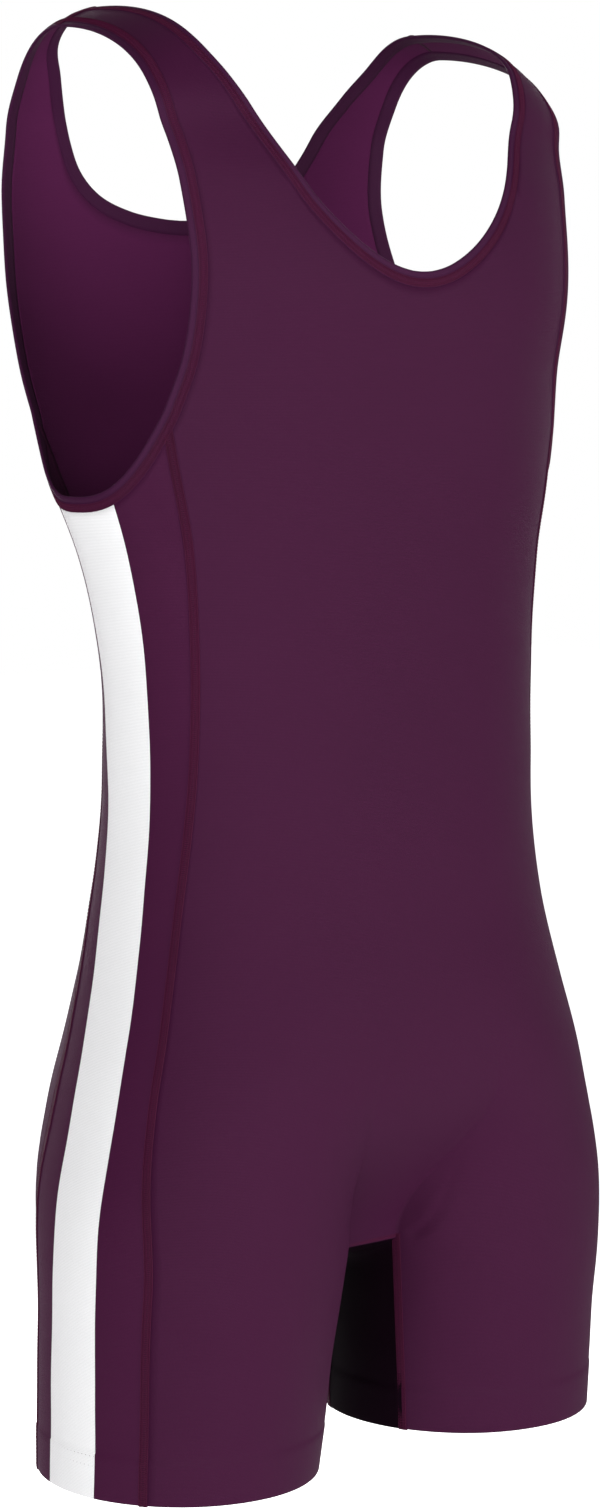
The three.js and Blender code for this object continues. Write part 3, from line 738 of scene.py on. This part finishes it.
def knit_material(name, colour, roughness=0.6, sheen=0.06, loop_depth=0.12, tone=0.12, specular=0.1):
    """Stretch knit of one colour: loops as bump and shade, dye clouds, and a soft sheen."""
    material, tree, shader, place, dye, tint = dyed_shader(name, colour, tone)
    loops = tree.nodes.new("ShaderNodeGroup")
    loops.node_tree = knit_loops
    tree.links.new(place.outputs["UV"], loops.inputs["Cloth"])
    shade = math_node(tree, "MULTIPLY", loops.outputs["Shade"], dye.outputs["Tone"])
    tree.links.new(shade, tint.inputs["B"])
    bump = tree.nodes.new("ShaderNodeBump")
    bump.inputs["Distance"].default_value = loop_depth * MM
    bump.inputs["Strength"].default_value = BUMP_STRENGTH
    tree.links.new(loops.outputs["Height"], bump.inputs["Height"])
    tree.links.new(bump.outputs["Normal"], shader.inputs["Normal"])
    shader.inputs["Roughness"].default_value = roughness
    shader.inputs["Specular IOR Level"].default_value = specular
    shader.inputs["Sheen Weight"].default_value = sheen
    shader.inputs["Sheen Roughness"].default_value = SHEEN["roughness"]
    shader.inputs["Sheen Tint"].default_value = SHEEN["tint"]
    return material


PLUM = (0.043, 0.0042, 0.0285)
# The inside face is lighter than the outside. This is partly the knit's own paler back and partly painted
# light, for light that reaches the inside through the neck and the armholes.
BACK_FACE_PLUM_PAINTED_LIGHT = (0.082, 0.0115, 0.057)
body_knit = knit_material("plum_knit", PLUM)
# The inside face's material carries that painted light.
inside_face_painted_light = knit_material("plum_inside_face_painted_light", BACK_FACE_PLUM_PAINTED_LIGHT, roughness=0.8, specular=0.05)
front_places, front_outs, front_seam = half_panel(True, neck_front(PANEL_LINE), armhole(PANEL_LINE))
front_grid = cloth_grid(*both_halves(front_places, front_outs))
front = piece_from("front_panel", front_grid, "body_knit", body_knit, inside_face_painted_light)
thickened(front, 1)
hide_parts("front")


# Back panel
# The same knit, from the shoulder seams to the hems. Its neck is cut less deep than the front's,
# and it is fuller over the seat.
NECK_BACK = table(
    "down across",
    (0, 118), (17, 116), (35, 106), (52, 96.5), (70, 87.5), (86, 76.5), (99, 60),
    (107, 37), (110.5, 12), (111, 0),
)
neck_back_edge = edge_of(NECK_BACK, False)


def neck_back(distance):
    return trimmed(moved_within(neck_back_edge, distance, False), 1)


back_places, back_outs, back_seam = half_panel(False, neck_back(PANEL_LINE), armhole(PANEL_LINE)[::-1])
back_grid = cloth_grid(*both_halves(back_places, back_outs))
back = piece_from("back_panel", back_grid, "body_knit", body_knit, inside_face_painted_light)
thickened(back, 1)
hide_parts("back")


# Side panels
# A long panel under each arm, from the bottom of the armhole to the hem, wide at the chest and
# narrower at the waist. A broad white band is knitted into its middle.
BAND_HALF = table("down half", (ARMHOLE["corner"], 17), (330, 15.5), (420, 15), (560, 18), (HEM["down"], 20))
band_half = smooth_column(BAND_HALF, "half")
SIDE_COLUMNS = {"front": 11, "band": 9, "back": 11}
SIDE_TOP_STEPS = 96
SIDE_BULGE = 1.06
# The side panels' plum is a little lighter than the body's. The extra lightness is painted light on the
# sides under the arms.
UNDERARM_PLUM_PAINTED_LIGHT = (0.048, 0.0042, 0.031)
WHITE = (0.9, 0.9, 0.91)


def side_places():
    """Places of the right side panel, from the front seam to the back and down to the hem."""
    line = armhole(PANEL_LINE)
    first = reach_of(line[:, 1] - seam_turn["front"](line[:, 0]), 0, EDGE_SAMPLES // 2)
    last = reach_of(line[:, 1] - seam_turn["back"](line[:, 0]), 0, math.ceil(first))
    front_along = np.append(front_seam, leg_along)
    back_along = np.append(back_seam, leg_along)
    start = seam_turn["front"](front_along)
    end = seam_turn["back"](back_along)
    middle_along = (front_along + back_along) / 2
    width = np.linalg.norm(form(middle_along, end) - form(middle_along, start), axis=1) * SIDE_BULGE
    band = band_half(middle_along) / width
    shares = np.array([
        np.concatenate([
            np.linspace(0, 0.5 - b, SIDE_COLUMNS["front"] + 1)[:-1],
            np.linspace(0.5 - b, 0.5 + b, SIDE_COLUMNS["band"] + 1),
            np.linspace(0.5 + b, 1, SIDE_COLUMNS["back"] + 1)[1:],
        ])
        for b in band
    ])
    top_samples = even_samples(line, first, last, SIDE_TOP_STEPS)
    top = place_on(line, np.interp(shares[0], np.linspace(0, 1, SIDE_TOP_STEPS + 1), top_samples))
    dip = top[:, 0] - mix(front_along[0], back_along[0], shares[0])
    settling = np.minimum(np.arange(len(start)) / (len(front_seam) - 1), 1)[:, None]
    along = mix(front_along[:, None], back_along[:, None], shares) + dip * (1 - settling)
    top_share = (top[:, 1] - top[0, 1]) / (top[-1, 1] - top[0, 1])
    turn = mix(start[:, None], end[:, None], mix(top_share, shares, settling))
    outs = np.append(np.zeros(len(front_seam)), leg_outs)
    return np.stack([along, turn], -1), outs[:, None]


# The side panels' knit carries that lighter plum as painted light.
side_knit = knit_material("plum_underarm_painted_light", UNDERARM_PLUM_PAINTED_LIGHT)
white_knit = knit_material("white_band", WHITE, roughness=0.7, sheen=0.1, tone=0.03)
white_columns = range(SIDE_COLUMNS["front"], SIDE_COLUMNS["front"] + SIDE_COLUMNS["band"])
panel_places, panel_outs = side_places()
for side_name, side in (("right", -1), ("left", 1)):
    points, normals = skin(panel_places, panel_outs, side)
    cloth_map = np.stack([lengths_along(points), panel_places[..., 0]], -1)
    bm = cloth_grid(points, normals, cloth_map, white_columns)
    panel = piece_from(f"side_panel_{side_name}", bm, "side_knit", side_knit, white_knit)
    thickened(panel)
    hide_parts(f"side_{side_name}")


# Gusset
# A narrow piece of knit from one hem up the inner thigh, through the crotch and down the
# other thigh. Its near-black colour is painted shade for the deep gap between the legs. It bends
# round a soft corner at each end of the crotch.
GUSSET = {"sag": 11.0, "corner": 12.0, "corner_rows": 8, "crotch_rows": 8, "columns": 16}
GUSSET_PROBE = {"down": 0.5, "share": 0.01}
# The gusset's colour is painted shade: near black, for the shadow between the legs.
GUSSET_PAINTED_SHADE_BLACK = (0.0045, 0.0007, 0.0035)


def inner_thigh(down, share):
    return leg_point(down, -LEAN_IN - (math.pi - 2 * LEAN_IN) * share)


def gusset_half():
    """Points and normals from the right hem to the middle of the crotch, front seam to back."""
    shares = np.linspace(0, 1, GUSSET["columns"] + 1)
    swell = np.sin(math.pi * shares)[:, None]
    low = CROTCH_DOWN + GUSSET["sag"] * swell[:, 0]
    rows = []
    facings = []
    for down, out in reversed(leg_rows):
        if down < CROTCH_DOWN + GUSSET["corner"] + GUSSET["sag"]:
            continue
        here = inner_thigh(down, shares)
        lower = inner_thigh(down + GUSSET_PROBE["down"], shares) - here
        further = inner_thigh(down, shares + GUSSET_PROBE["share"]) - here
        facing = unit(np.cross(lower, further))
        rows.append(here + facing * out)
        facings.append(facing)
    corner = inner_thigh(low, shares)
    below = inner_thigh(low + GUSSET["corner"], shares)
    beside = corner + [GUSSET["corner"], 0, 0]
    inward = np.array([1.0, 0, 0])
    under = np.array([0, 0, -1.0])
    for t in np.linspace(0, 1, GUSSET["corner_rows"] + 1):
        sharp = mix(below, corner, 2 * t) if t < 0.5 else mix(corner, beside, 2 * t - 1)
        soft = (1 - t) ** 2 * below + 2 * t * (1 - t) * corner + t * t * beside
        rows.append(mix(sharp, soft, swell))
        facings.append(np.tile(unit(mix(inward, under, t)), (len(shares), 1)))
    middle = corner * [0, 1, 1]
    for t in np.linspace(0, 1, GUSSET["crotch_rows"] + 1)[1:]:
        rows.append(mix(beside, middle, t))
        facings.append(np.tile(under, (len(shares), 1)))
    return np.array(rows), np.array(facings)


gusset_rows, gusset_facings = gusset_half()
gusset_rows += gusset_facings * relief(gusset_rows)[..., None]
gusset_along = lengths_along(np.swapaxes(gusset_rows, 0, 1)).mean(0)[:, None]
gusset_points = np.concatenate([gusset_rows, gusset_rows[-2::-1] * [-1, 1, 1]])
gusset_normals = np.concatenate([gusset_facings, gusset_facings[-2::-1] * [-1, 1, 1]])
gusset_along = np.concatenate([gusset_along, 2 * gusset_along[-1] - gusset_along[-2::-1]])
gusset_map = np.stack(np.broadcast_arrays(lengths_along(gusset_points), gusset_along), -1)
# The gusset's knit carries the near-black painted shade.
gusset_knit = knit_material("gusset_cloth_painted_shade", GUSSET_PAINTED_SHADE_BLACK, sheen=0.0, specular=0.02)
bm = cloth_grid(gusset_points, gusset_normals, gusset_map)
gusset = piece_from("gusset_panel", bm, "gusset_knit", gusset_knit)
thickened(gusset)
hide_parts("gusset")


# Flatlock seams
# Where two panels meet, their cut edges lie side by side in a flat ribbon. Two needle threads run
# along its edges and looper threads go to and fro between them; the ribbon's outer face has them.
SEAM_REACH = 2.3
BAND_REACH = 3.0
SEAM_RIDGE = 0.26
SEAM_TUCK = {"along": [-5.0, -2.0, 2.0], "out": [-0.6, -0.35, 0.0]}
STITCH = {"pitch": 2.1, "radius": 0.19, "sink": 0.05, "dip": 0.22, "dip_sharpness": 4}
STITCH_POINTS = {"looper": 8, "needle": 6}
LOOPER_ROUND = 0.97
WELD = 1e-5
SEAM_PROFILE = table(
    "across height",
    (-2.7, -0.2), (-2.2, SEAM_RIDGE), (0, SEAM_RIDGE + 0.1), (2.2, SEAM_RIDGE), (2.7, -0.2),
    (2.2, -CLOTH - SEAM_RIDGE), (0, -CLOTH - SEAM_RIDGE - 0.1), (-2.2, -CLOTH - SEAM_RIDGE),
)


def band_of(lines, normals, distances):
    """A strip of the form as lines side by side: their points, normals and distances across."""
    return {
        "points": np.array(lines),
        "normals": np.array(normals),
        "across": np.array(distances),
        "lengths": lengths_along(lines[len(lines) // 2]),
    }


def band_beside(points, sides):
    """A straight-sided strip along a line, with its sides as given directions."""
    ahead = unit(np.gradient(points, axis=0))
    facing = unit(np.cross(sides, ahead))
    distances = [-BAND_REACH, 0.0, BAND_REACH]
    return band_of([points + sides * d for d in distances], [facing] * 3, distances)


def on_band(band, along, across, height):
    """Points at lengths along a strip, distances across it and heights off it."""
    last = len(band["lengths"]) - 2
    at = np.interp(along, band["lengths"], np.arange(last + 2))
    i = np.minimum(at.astype(int), last)
    t = (at - i)[..., None]
    over = np.interp(across, band["across"], np.arange(len(band["across"])))
    k = np.minimum(over.astype(int), len(band["across"]) - 2)
    u = (over - k)[..., None]

    def pick(values):
        return mix(mix(values[k, i], values[k, i + 1], t), mix(values[k + 1, i], values[k + 1, i + 1], t), u)

    return pick(band["points"]) + unit(pick(band["normals"])) * np.asarray(height)[..., None]


def swept(band, profile, closed):
    """A solid strip: a closed outline, across and height, carried along a band."""
    across = np.append(profile["across"], profile["across"][0])
    height = np.append(profile["height"], profile["height"][0])
    along = band["lengths"]
    points = on_band(band, along[None] + 0 * across[:, None], across[:, None] + 0 * along[None],
                     height[:, None] + 0 * along[None])
    around = np.append(0, np.cumsum(np.hypot(np.diff(across), np.diff(height))))
    strip_map = np.stack(np.broadcast_arrays(around[:, None], along[None]), -1)
    bm = cloth_grid(points, points * 0, strip_map)
    bmesh.ops.remove_doubles(bm, verts=bm.verts, dist=WELD)
    if not closed:
        rims = [edge for edge in bm.edges if edge.is_boundary]
        bmesh.ops.holes_fill(bm, edges=rims, sides=0)
    bmesh.ops.recalc_face_normals(bm, faces=bm.faces)
    return bm


def looper(band, middle, reach, height, phase=0.0):
    """A looper thread's path, to and fro across a band."""
    length = band["lengths"][-1]
    stitches = max(round(length / STITCH["pitch"]), 1)
    along = np.linspace(0, length, stitches * STITCH_POINTS["looper"] + 1)
    swing = np.sin(2 * math.pi * stitches * along / length + phase)
    bars = np.arcsin(LOOPER_ROUND * swing) / math.asin(LOOPER_ROUND)
    lift = np.full(len(along), height + STITCH["radius"] - STITCH["sink"])
    return on_band(band, along, middle + reach * bars, lift)


def needle(band, middle, height, pitch=STITCH["pitch"], dip=STITCH["dip"]):
    """A needle thread's path along a band; it dips into the cloth after each stitch."""
    length = band["lengths"][-1]
    stitches = max(round(length / pitch), 1)
    along = np.linspace(0, length, stitches * STITCH_POINTS["needle"] + 1)
    wave = 0.5 + 0.5 * np.cos(2 * math.pi * stitches * along / length)
    down = dip * wave ** STITCH["dip_sharpness"]
    return on_band(band, along, middle + 0 * along, height + STITCH["radius"] - STITCH["sink"] - down)


def flatlock_threads(band):
    """The threads of one flatlock seam: two loopers that cross, and a needle row on each edge."""
    loopers = [looper(band, 0, SEAM_REACH, SEAM_RIDGE, phase) for phase in (0, math.pi)]
    return loopers + [needle(band, edge, SEAM_RIDGE) for edge in (-SEAM_REACH, SEAM_REACH)]


def thread_piece(name, paths, material, radius=STITCH["radius"], slot="binding"):
    """Threads laid along paths, as one mesh."""
    curve = bpy.data.curves.new(name, "CURVE")
    curve.dimensions = "3D"
    curve.bevel_depth = radius * MM
    curve.bevel_resolution = 0
    curve.use_fill_caps = True
    for path in paths:
        spline = curve.splines.new("POLY")
        spline.points.add(len(path) - 1)
        spline.points.foreach_set("co", np.append(path * MM, np.ones((len(path), 1)), 1).ravel())
    laid = bpy.data.objects.new(f"{name}_laid", curve)
    mesh = bpy.data.meshes.new_from_object(laid)
    bpy.data.objects.remove(laid)
    bpy.data.curves.remove(curve)
    bm = bmesh.new()
    bm.from_mesh(mesh)
    bpy.data.meshes.remove(mesh)
    for face in bm.faces:
        face.smooth = True
    return piece_from(name, bm, slot, material)


THREAD_LOOK = {"flecks": 2200.0, "tone": 0.5, "roughness": 0.55, "specular": 0.12}


def thread_material(name, colour):
    """Twisted polyester thread: a slight sheen and a fine broken tone."""
    material, tree, shader, _, dye, tint = dyed_shader(name, colour, THREAD_LOOK["tone"])
    dye.inputs["Flecks"].default_value = THREAD_LOOK["flecks"]
    tree.links.new(dye.outputs["Tone"], tint.inputs["B"])
    shader.inputs["Roughness"].default_value = THREAD_LOOK["roughness"]
    shader.inputs["Specular IOR Level"].default_value = THREAD_LOOK["specular"]
    return material


def seam_bands(places, outs, side):
    """A strip along a seam that runs down to the hem and round its fold."""
    points, normals = skin(places, outs, side)
    down = unit(form(places[:, 0] + 1, places[:, 1]) - form(places[:, 0], places[:, 1])) * [-side, 1, 1]
    sides = unit(np.cross(down, normals))
    return band_beside(points, sides)


THREAD_WINE = (0.066, 0.0046, 0.029)
SEAM_PLUM = (0.034, 0.0028, 0.02)
plum_thread = thread_material("plum_thread", THREAD_WINE)
seam_knit = knit_material("plum_seam", SEAM_PLUM, loop_depth=0.2, tone=0.2)
for side_name, side in (("right", -1), ("left", 1)):
    threads = []
    for name, seam in (("front", front_seam), ("back", back_seam)):
        along = np.concatenate([seam[0] + SEAM_TUCK["along"], seam[1:], leg_along])
        outs = np.concatenate([SEAM_TUCK["out"], np.zeros(len(seam) - 1), leg_outs])
        band = seam_bands(np.stack([along, seam_turn[name](along)], 1), outs, side)
        piece_from(f"seam_{name}_{side_name}", swept(band, SEAM_PROFILE, False), "binding", seam_knit)
        threads += flatlock_threads(band)
    thread_piece(f"seam_stitches_{side_name}", threads, plum_thread)


# Gusset seams
# The same flatlock ribbon round both long edges of the gusset: up the inside of one leg, across
# the crotch and down the inside of the other.
CROTCH_SEAM = {"margin": 1.0, "bend": 0.4}


def crotch_band(toward):
    """The strip that bends over the edge between a panel's end and the gusset."""
    edge = crotch_line(toward)
    facing = np.array([0, toward, 0]) + np.zeros_like(edge)
    under = np.array([0, 0, -1.0]) + np.zeros_like(edge)
    both = unit(facing + under)
    reach = SEAM_REACH + CROTCH_SEAM["margin"]
    bend = CROTCH_SEAM["bend"]
    above = edge + [0, 0, reach]
    rounded = edge + [0, -toward * bend, bend]
    behind = edge - [0, toward * reach, 0]
    lines = [above, rounded, behind]
    distances = [-reach, 0.0, reach]
    if toward < 0:
        return band_of(lines, [facing, both, under], distances)
    return band_of(lines[::-1], [under, both, facing], distances)


GUSSET_TUCK = {"along": [-3.4, -2.2, 0.0], "out": [-0.9, -0.2, 0.0]}
for name, strip_turn, toward in (("front", STRIP_TURN, -1), ("back", 1 - STRIP_TURN, 1)):
    band = crotch_band(toward)
    piece_from(f"crotch_seam_{name}", swept(band, SEAM_PROFILE, False), "binding", seam_knit)
    threads = flatlock_threads(band)
    for side_name, side in (("right", -1), ("left", 1)):
        along = np.concatenate([along_at(CROTCH_DOWN) + GUSSET_TUCK["along"], leg_along])
        outs = np.concatenate([GUSSET_TUCK["out"], leg_outs])
        band = seam_bands(np.stack([along, np.full(len(along), strip_turn)], 1), outs, side)
        piece_from(f"gusset_seam_{name}_{side_name}", swept(band, SEAM_PROFILE, False), "binding", seam_knit)
        threads += flatlock_threads(band)
    thread_piece(f"gusset_stitches_{name}", threads, plum_thread)


# Edge bindings
# The neck and the armholes are finished by rolling the cut edge under. A smooth roll lies at the
# free edge, and a coverstitch of three needle rows and a looper holds it down.
BINDING_PROFILE = table(
    "across height",
    (0, -0.7), (0.1, -0.1), (0.6, 0.38), (1.5, 0.52), (2.5, 0.4), (3.1, 0.02), (3.5, 0.02), (3.9, 0.3),
    (6.3, 0.36), (8.5, 0.3), (9, -0.1), (8.8, -1.1), (6.3, -1.25), (3.6, -1.3), (1.7, -1.5), (0.5, -1.25),
)
COVERSTITCH = {"middle": 6.3, "reach": 2.1, "height": 0.34}
BINDING_DISTANCES = np.linspace(0, BINDING_WIDTH, 7)
BINDING_STEPS = {"armhole": 210, "neck_quarter": 75}
BINDING_PLUM = (0.042, 0.0055, 0.032)


def binding_lines(line_at, marks, side):
    """Lines side by side from the free edge inwards, with their normals."""
    lines, normals = zip(*(skin(place_on(line_at(d), marks), 0.0, side) for d in BINDING_DISTANCES))
    return list(lines), list(normals)


def finish_binding(name, node, lines, normals):
    """The rolled strip and its coverstitch along a closed edge."""
    band = band_of(lines, normals, BINDING_DISTANCES)
    binding = piece_from(name, swept(band, BINDING_PROFILE, True), "binding", binding_knit)
    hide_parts(node)
    middle, reach, height = COVERSTITCH.values()
    threads = [looper(band, middle, reach, height), looper(band, middle, reach, height, math.pi)]
    threads += [needle(band, middle + edge, height) for edge in (-reach, 0, reach)]
    thread_piece(f"{name}_stitches", threads, plum_thread)


binding_knit = knit_material("plum_binding", BINDING_PLUM, loop_depth=0.1)
arm_marks = even_samples(arm_edge, 0, len(arm_edge) - 1, BINDING_STEPS["armhole"])
for side_name, side in (("right", -1), ("left", 1)):
    lines, normals = binding_lines(armhole, arm_marks, side)
    finish_binding(f"armhole_binding_{side_name}_roll", f"armhole_binding_{side_name}", lines, normals)

neck_lines = []
neck_normals = []
halves = [
    binding_lines(line_at, even_samples(edge, 0, EDGE_SAMPLES, BINDING_STEPS["neck_quarter"]), side)
    for side in (-1, 1)
    for line_at, edge in ((neck_back, neck_back_edge), (neck_front, neck_front_edge))
]
for k in range(len(BINDING_DISTANCES)):
    for whole, part in ((neck_lines, 0), (neck_normals, 1)):
        back_right, front_right, back_left, front_left = (half[part][k] for half in halves)
        whole.append(np.concatenate([
            back_right[::-1], front_right[1:], front_left[-2::-1], back_left[1:],
        ]))
finish_binding("neck_binding_roll", "neck_binding", neck_lines, neck_normals)


# Shoulder seams
# The front and back straps are joined on top of each shoulder by a short flatlock seam, sewn right
# across both bindings.
SHOULDER_SEAM = {"inset": 0.6, "reach": 3.0, "out": 0.3, "steps": 20}


def shoulder_band(side):
    """The strip across the top of a strap, from the neck's edge to the armhole's."""
    first = NECK_FRONT["across"][0] + SHOULDER_SEAM["inset"]
    last = ARM_FRONT["across"][0] - SHOULDER_SEAM["inset"]
    across = np.linspace(first, last, SHOULDER_SEAM["steps"] + 1)
    lines = []
    normals = []
    distances = np.array([-1, 0, 1]) * SHOULDER_SEAM["reach"]
    for distance in distances:
        to_front = distance < 0
        turn = turn_at(0.0, across, to_front)
        by_along, _ = slopes_at(np.zeros_like(turn), turn)
        along = abs(distance) / np.linalg.norm(by_along, axis=1)
        places = np.stack([along, turn_at(along, across, to_front)], 1)
        points, facings = skin(places, SHOULDER_SEAM["out"], side)
        lines.append(points)
        normals.append(facings)
    return band_of(lines, normals, distances)


for side_name, side in (("right", -1), ("left", 1)):
    band = shoulder_band(side)
    piece_from(f"shoulder_seam_{side_name}", swept(band, SEAM_PROFILE, False), "binding", seam_knit)
    thread_piece(f"shoulder_stitches_{side_name}", flatlock_threads(band), plum_thread)


# Hem stitching
# Each leg hem is turned up inside and held by two parallel rows of needle stitches all round.
HEM_STITCH = {"rows": (18.5, 24.0), "pitch": 2.9, "radius": 0.17, "dip": 0.5, "steps": 360}
round_the_leg = np.linspace(0, 2 * math.pi, HEM_STITCH["steps"] + 1)
for side_name, side in (("right", -1), ("left", 1)):
    threads = []
    for up in HEM_STITCH["rows"]:
        down = np.full(len(round_the_leg), HEM["down"] - up)
        ring = leg_point(down, round_the_leg) * [-side, 1, 1]
        lower = leg_point(down + 1, round_the_leg) * [-side, 1, 1]
        sides = unit(lower - ring)
        ahead = unit(np.gradient(ring, axis=0))
        ring += unit(np.cross(sides, ahead)) * HEM["proud"] * -side
        band = band_beside(ring, sides * -side)
        threads.append(needle(band, 0, 0, HEM_STITCH["pitch"], HEM_STITCH["dip"]))
    thread_piece(f"hem_stitches_{side_name}", threads, plum_thread, HEM_STITCH["radius"], "body_knit")


# Stage
# A plain pale floor well below the garment, a white surround and large soft lights. The camera
# looks from in front of the wearer's right side and a little above.
FLOOR = {"down": 1500.0, "half_m": 12, "squares": 8, "glow": 1.0, "roughness": 0.9}
FLOOR_PALE = (0.86, 0.86, 0.86, 1)
WHITE_LIGHT = (1, 1, 1, 1)
SURROUND = {"seen": 1.0, "glow": 0.18}
LIGHT_AIM = (0, 0, -0.42)
CAMERA = {
    "away": 2059.0, "yaw": 41.17, "pitch": 5.63, "down": 215.6, "side": -2.34, "lens": 85.96, "sensor": 36,
}
floor_mesh = bpy.data.meshes.new("floor")
bm = bmesh.new()
bmesh.ops.create_grid(bm, x_segments=FLOOR["squares"], y_segments=FLOOR["squares"], size=FLOOR["half_m"])
bmesh.ops.translate(bm, verts=bm.verts, vec=(0, 0, -FLOOR["down"] * MM))
bm.to_mesh(floor_mesh)
bm.free()
floor = bpy.data.objects.new("floor", floor_mesh)
bpy.context.scene.collection.objects.link(floor)
floor_paint = bpy.data.materials.new("pale_floor")
floor_paint.use_nodes = True
paint = floor_paint.node_tree
surface = paint.nodes["Principled BSDF"].inputs
surface["Base Color"].default_value = FLOOR_PALE
surface["Roughness"].default_value = FLOOR["roughness"]
surface["Emission Color"].default_value = WHITE_LIGHT
seen = paint.nodes.new("ShaderNodeLightPath").outputs["Is Camera Ray"]
paint.links.new(math_node(paint, "MULTIPLY", seen, FLOOR["glow"]), surface["Emission Strength"])
floor_mesh.materials.append(floor_paint)

world = bpy.data.worlds.new("surround")
bpy.context.scene.world = world
world.use_nodes = True
sky = world.node_tree
seen = sky.nodes.new("ShaderNodeLightPath").outputs["Is Camera Ray"]
brightness = math_node(sky, "MULTIPLY_ADD", seen, SURROUND["seen"] - SURROUND["glow"], SURROUND["glow"])
sky.links.new(brightness, sky.nodes["Background"].inputs["Strength"])
sky.nodes["Background"].inputs["Color"].default_value = WHITE_LIGHT


def soft_light(name, place, size, power):
    """A square light that looks at the middle of the garment."""
    lamp = bpy.data.lights.new(name, "AREA")
    lamp.shape = "SQUARE"
    lamp.size = size
    lamp.energy = power
    light = bpy.data.objects.new(name, lamp)
    bpy.context.scene.collection.objects.link(light)
    light.location = place
    aim = Vector(LIGHT_AIM) - Vector(place)
    light.rotation_mode = "QUATERNION"
    light.rotation_quaternion = aim.to_track_quat("-Z", "Y")


soft_light("key", (0.9, -2.7, 0.0), 1.8, 62)
soft_light("side", (-2.35, -1.55, -0.1), 1.8, 61)
soft_light("behind", (0.75, 2.7, 0.3), 1.8, 60)
soft_light("left", (2.5, 1.2, 0.2), 1.6, 12)

yaw = math.radians(CAMERA["yaw"])
pitch = math.radians(CAMERA["pitch"])
lens = bpy.data.cameras.new("camera")
lens.lens = CAMERA["lens"]
lens.sensor_width = CAMERA["sensor"]
camera = bpy.data.objects.new("camera", lens)
bpy.context.scene.collection.objects.link(camera)
aside = Vector((math.cos(yaw), -math.sin(yaw), 0)) * CAMERA["side"]
away = Vector((math.sin(yaw), math.cos(yaw), 0)) * CAMERA["away"]
camera.location = (aside - away + Vector((0, 0, -CAMERA["down"]))) * MM
forward = Vector((math.sin(yaw) * math.cos(pitch), math.cos(yaw) * math.cos(pitch), -math.sin(pitch)))
camera.rotation_mode = "QUATERNION"
camera.rotation_quaternion = forward.to_track_quat("-Z", "Y")
bpy.context.scene.camera = camera
bpy.context.scene.view_settings.view_transform = "Standard"
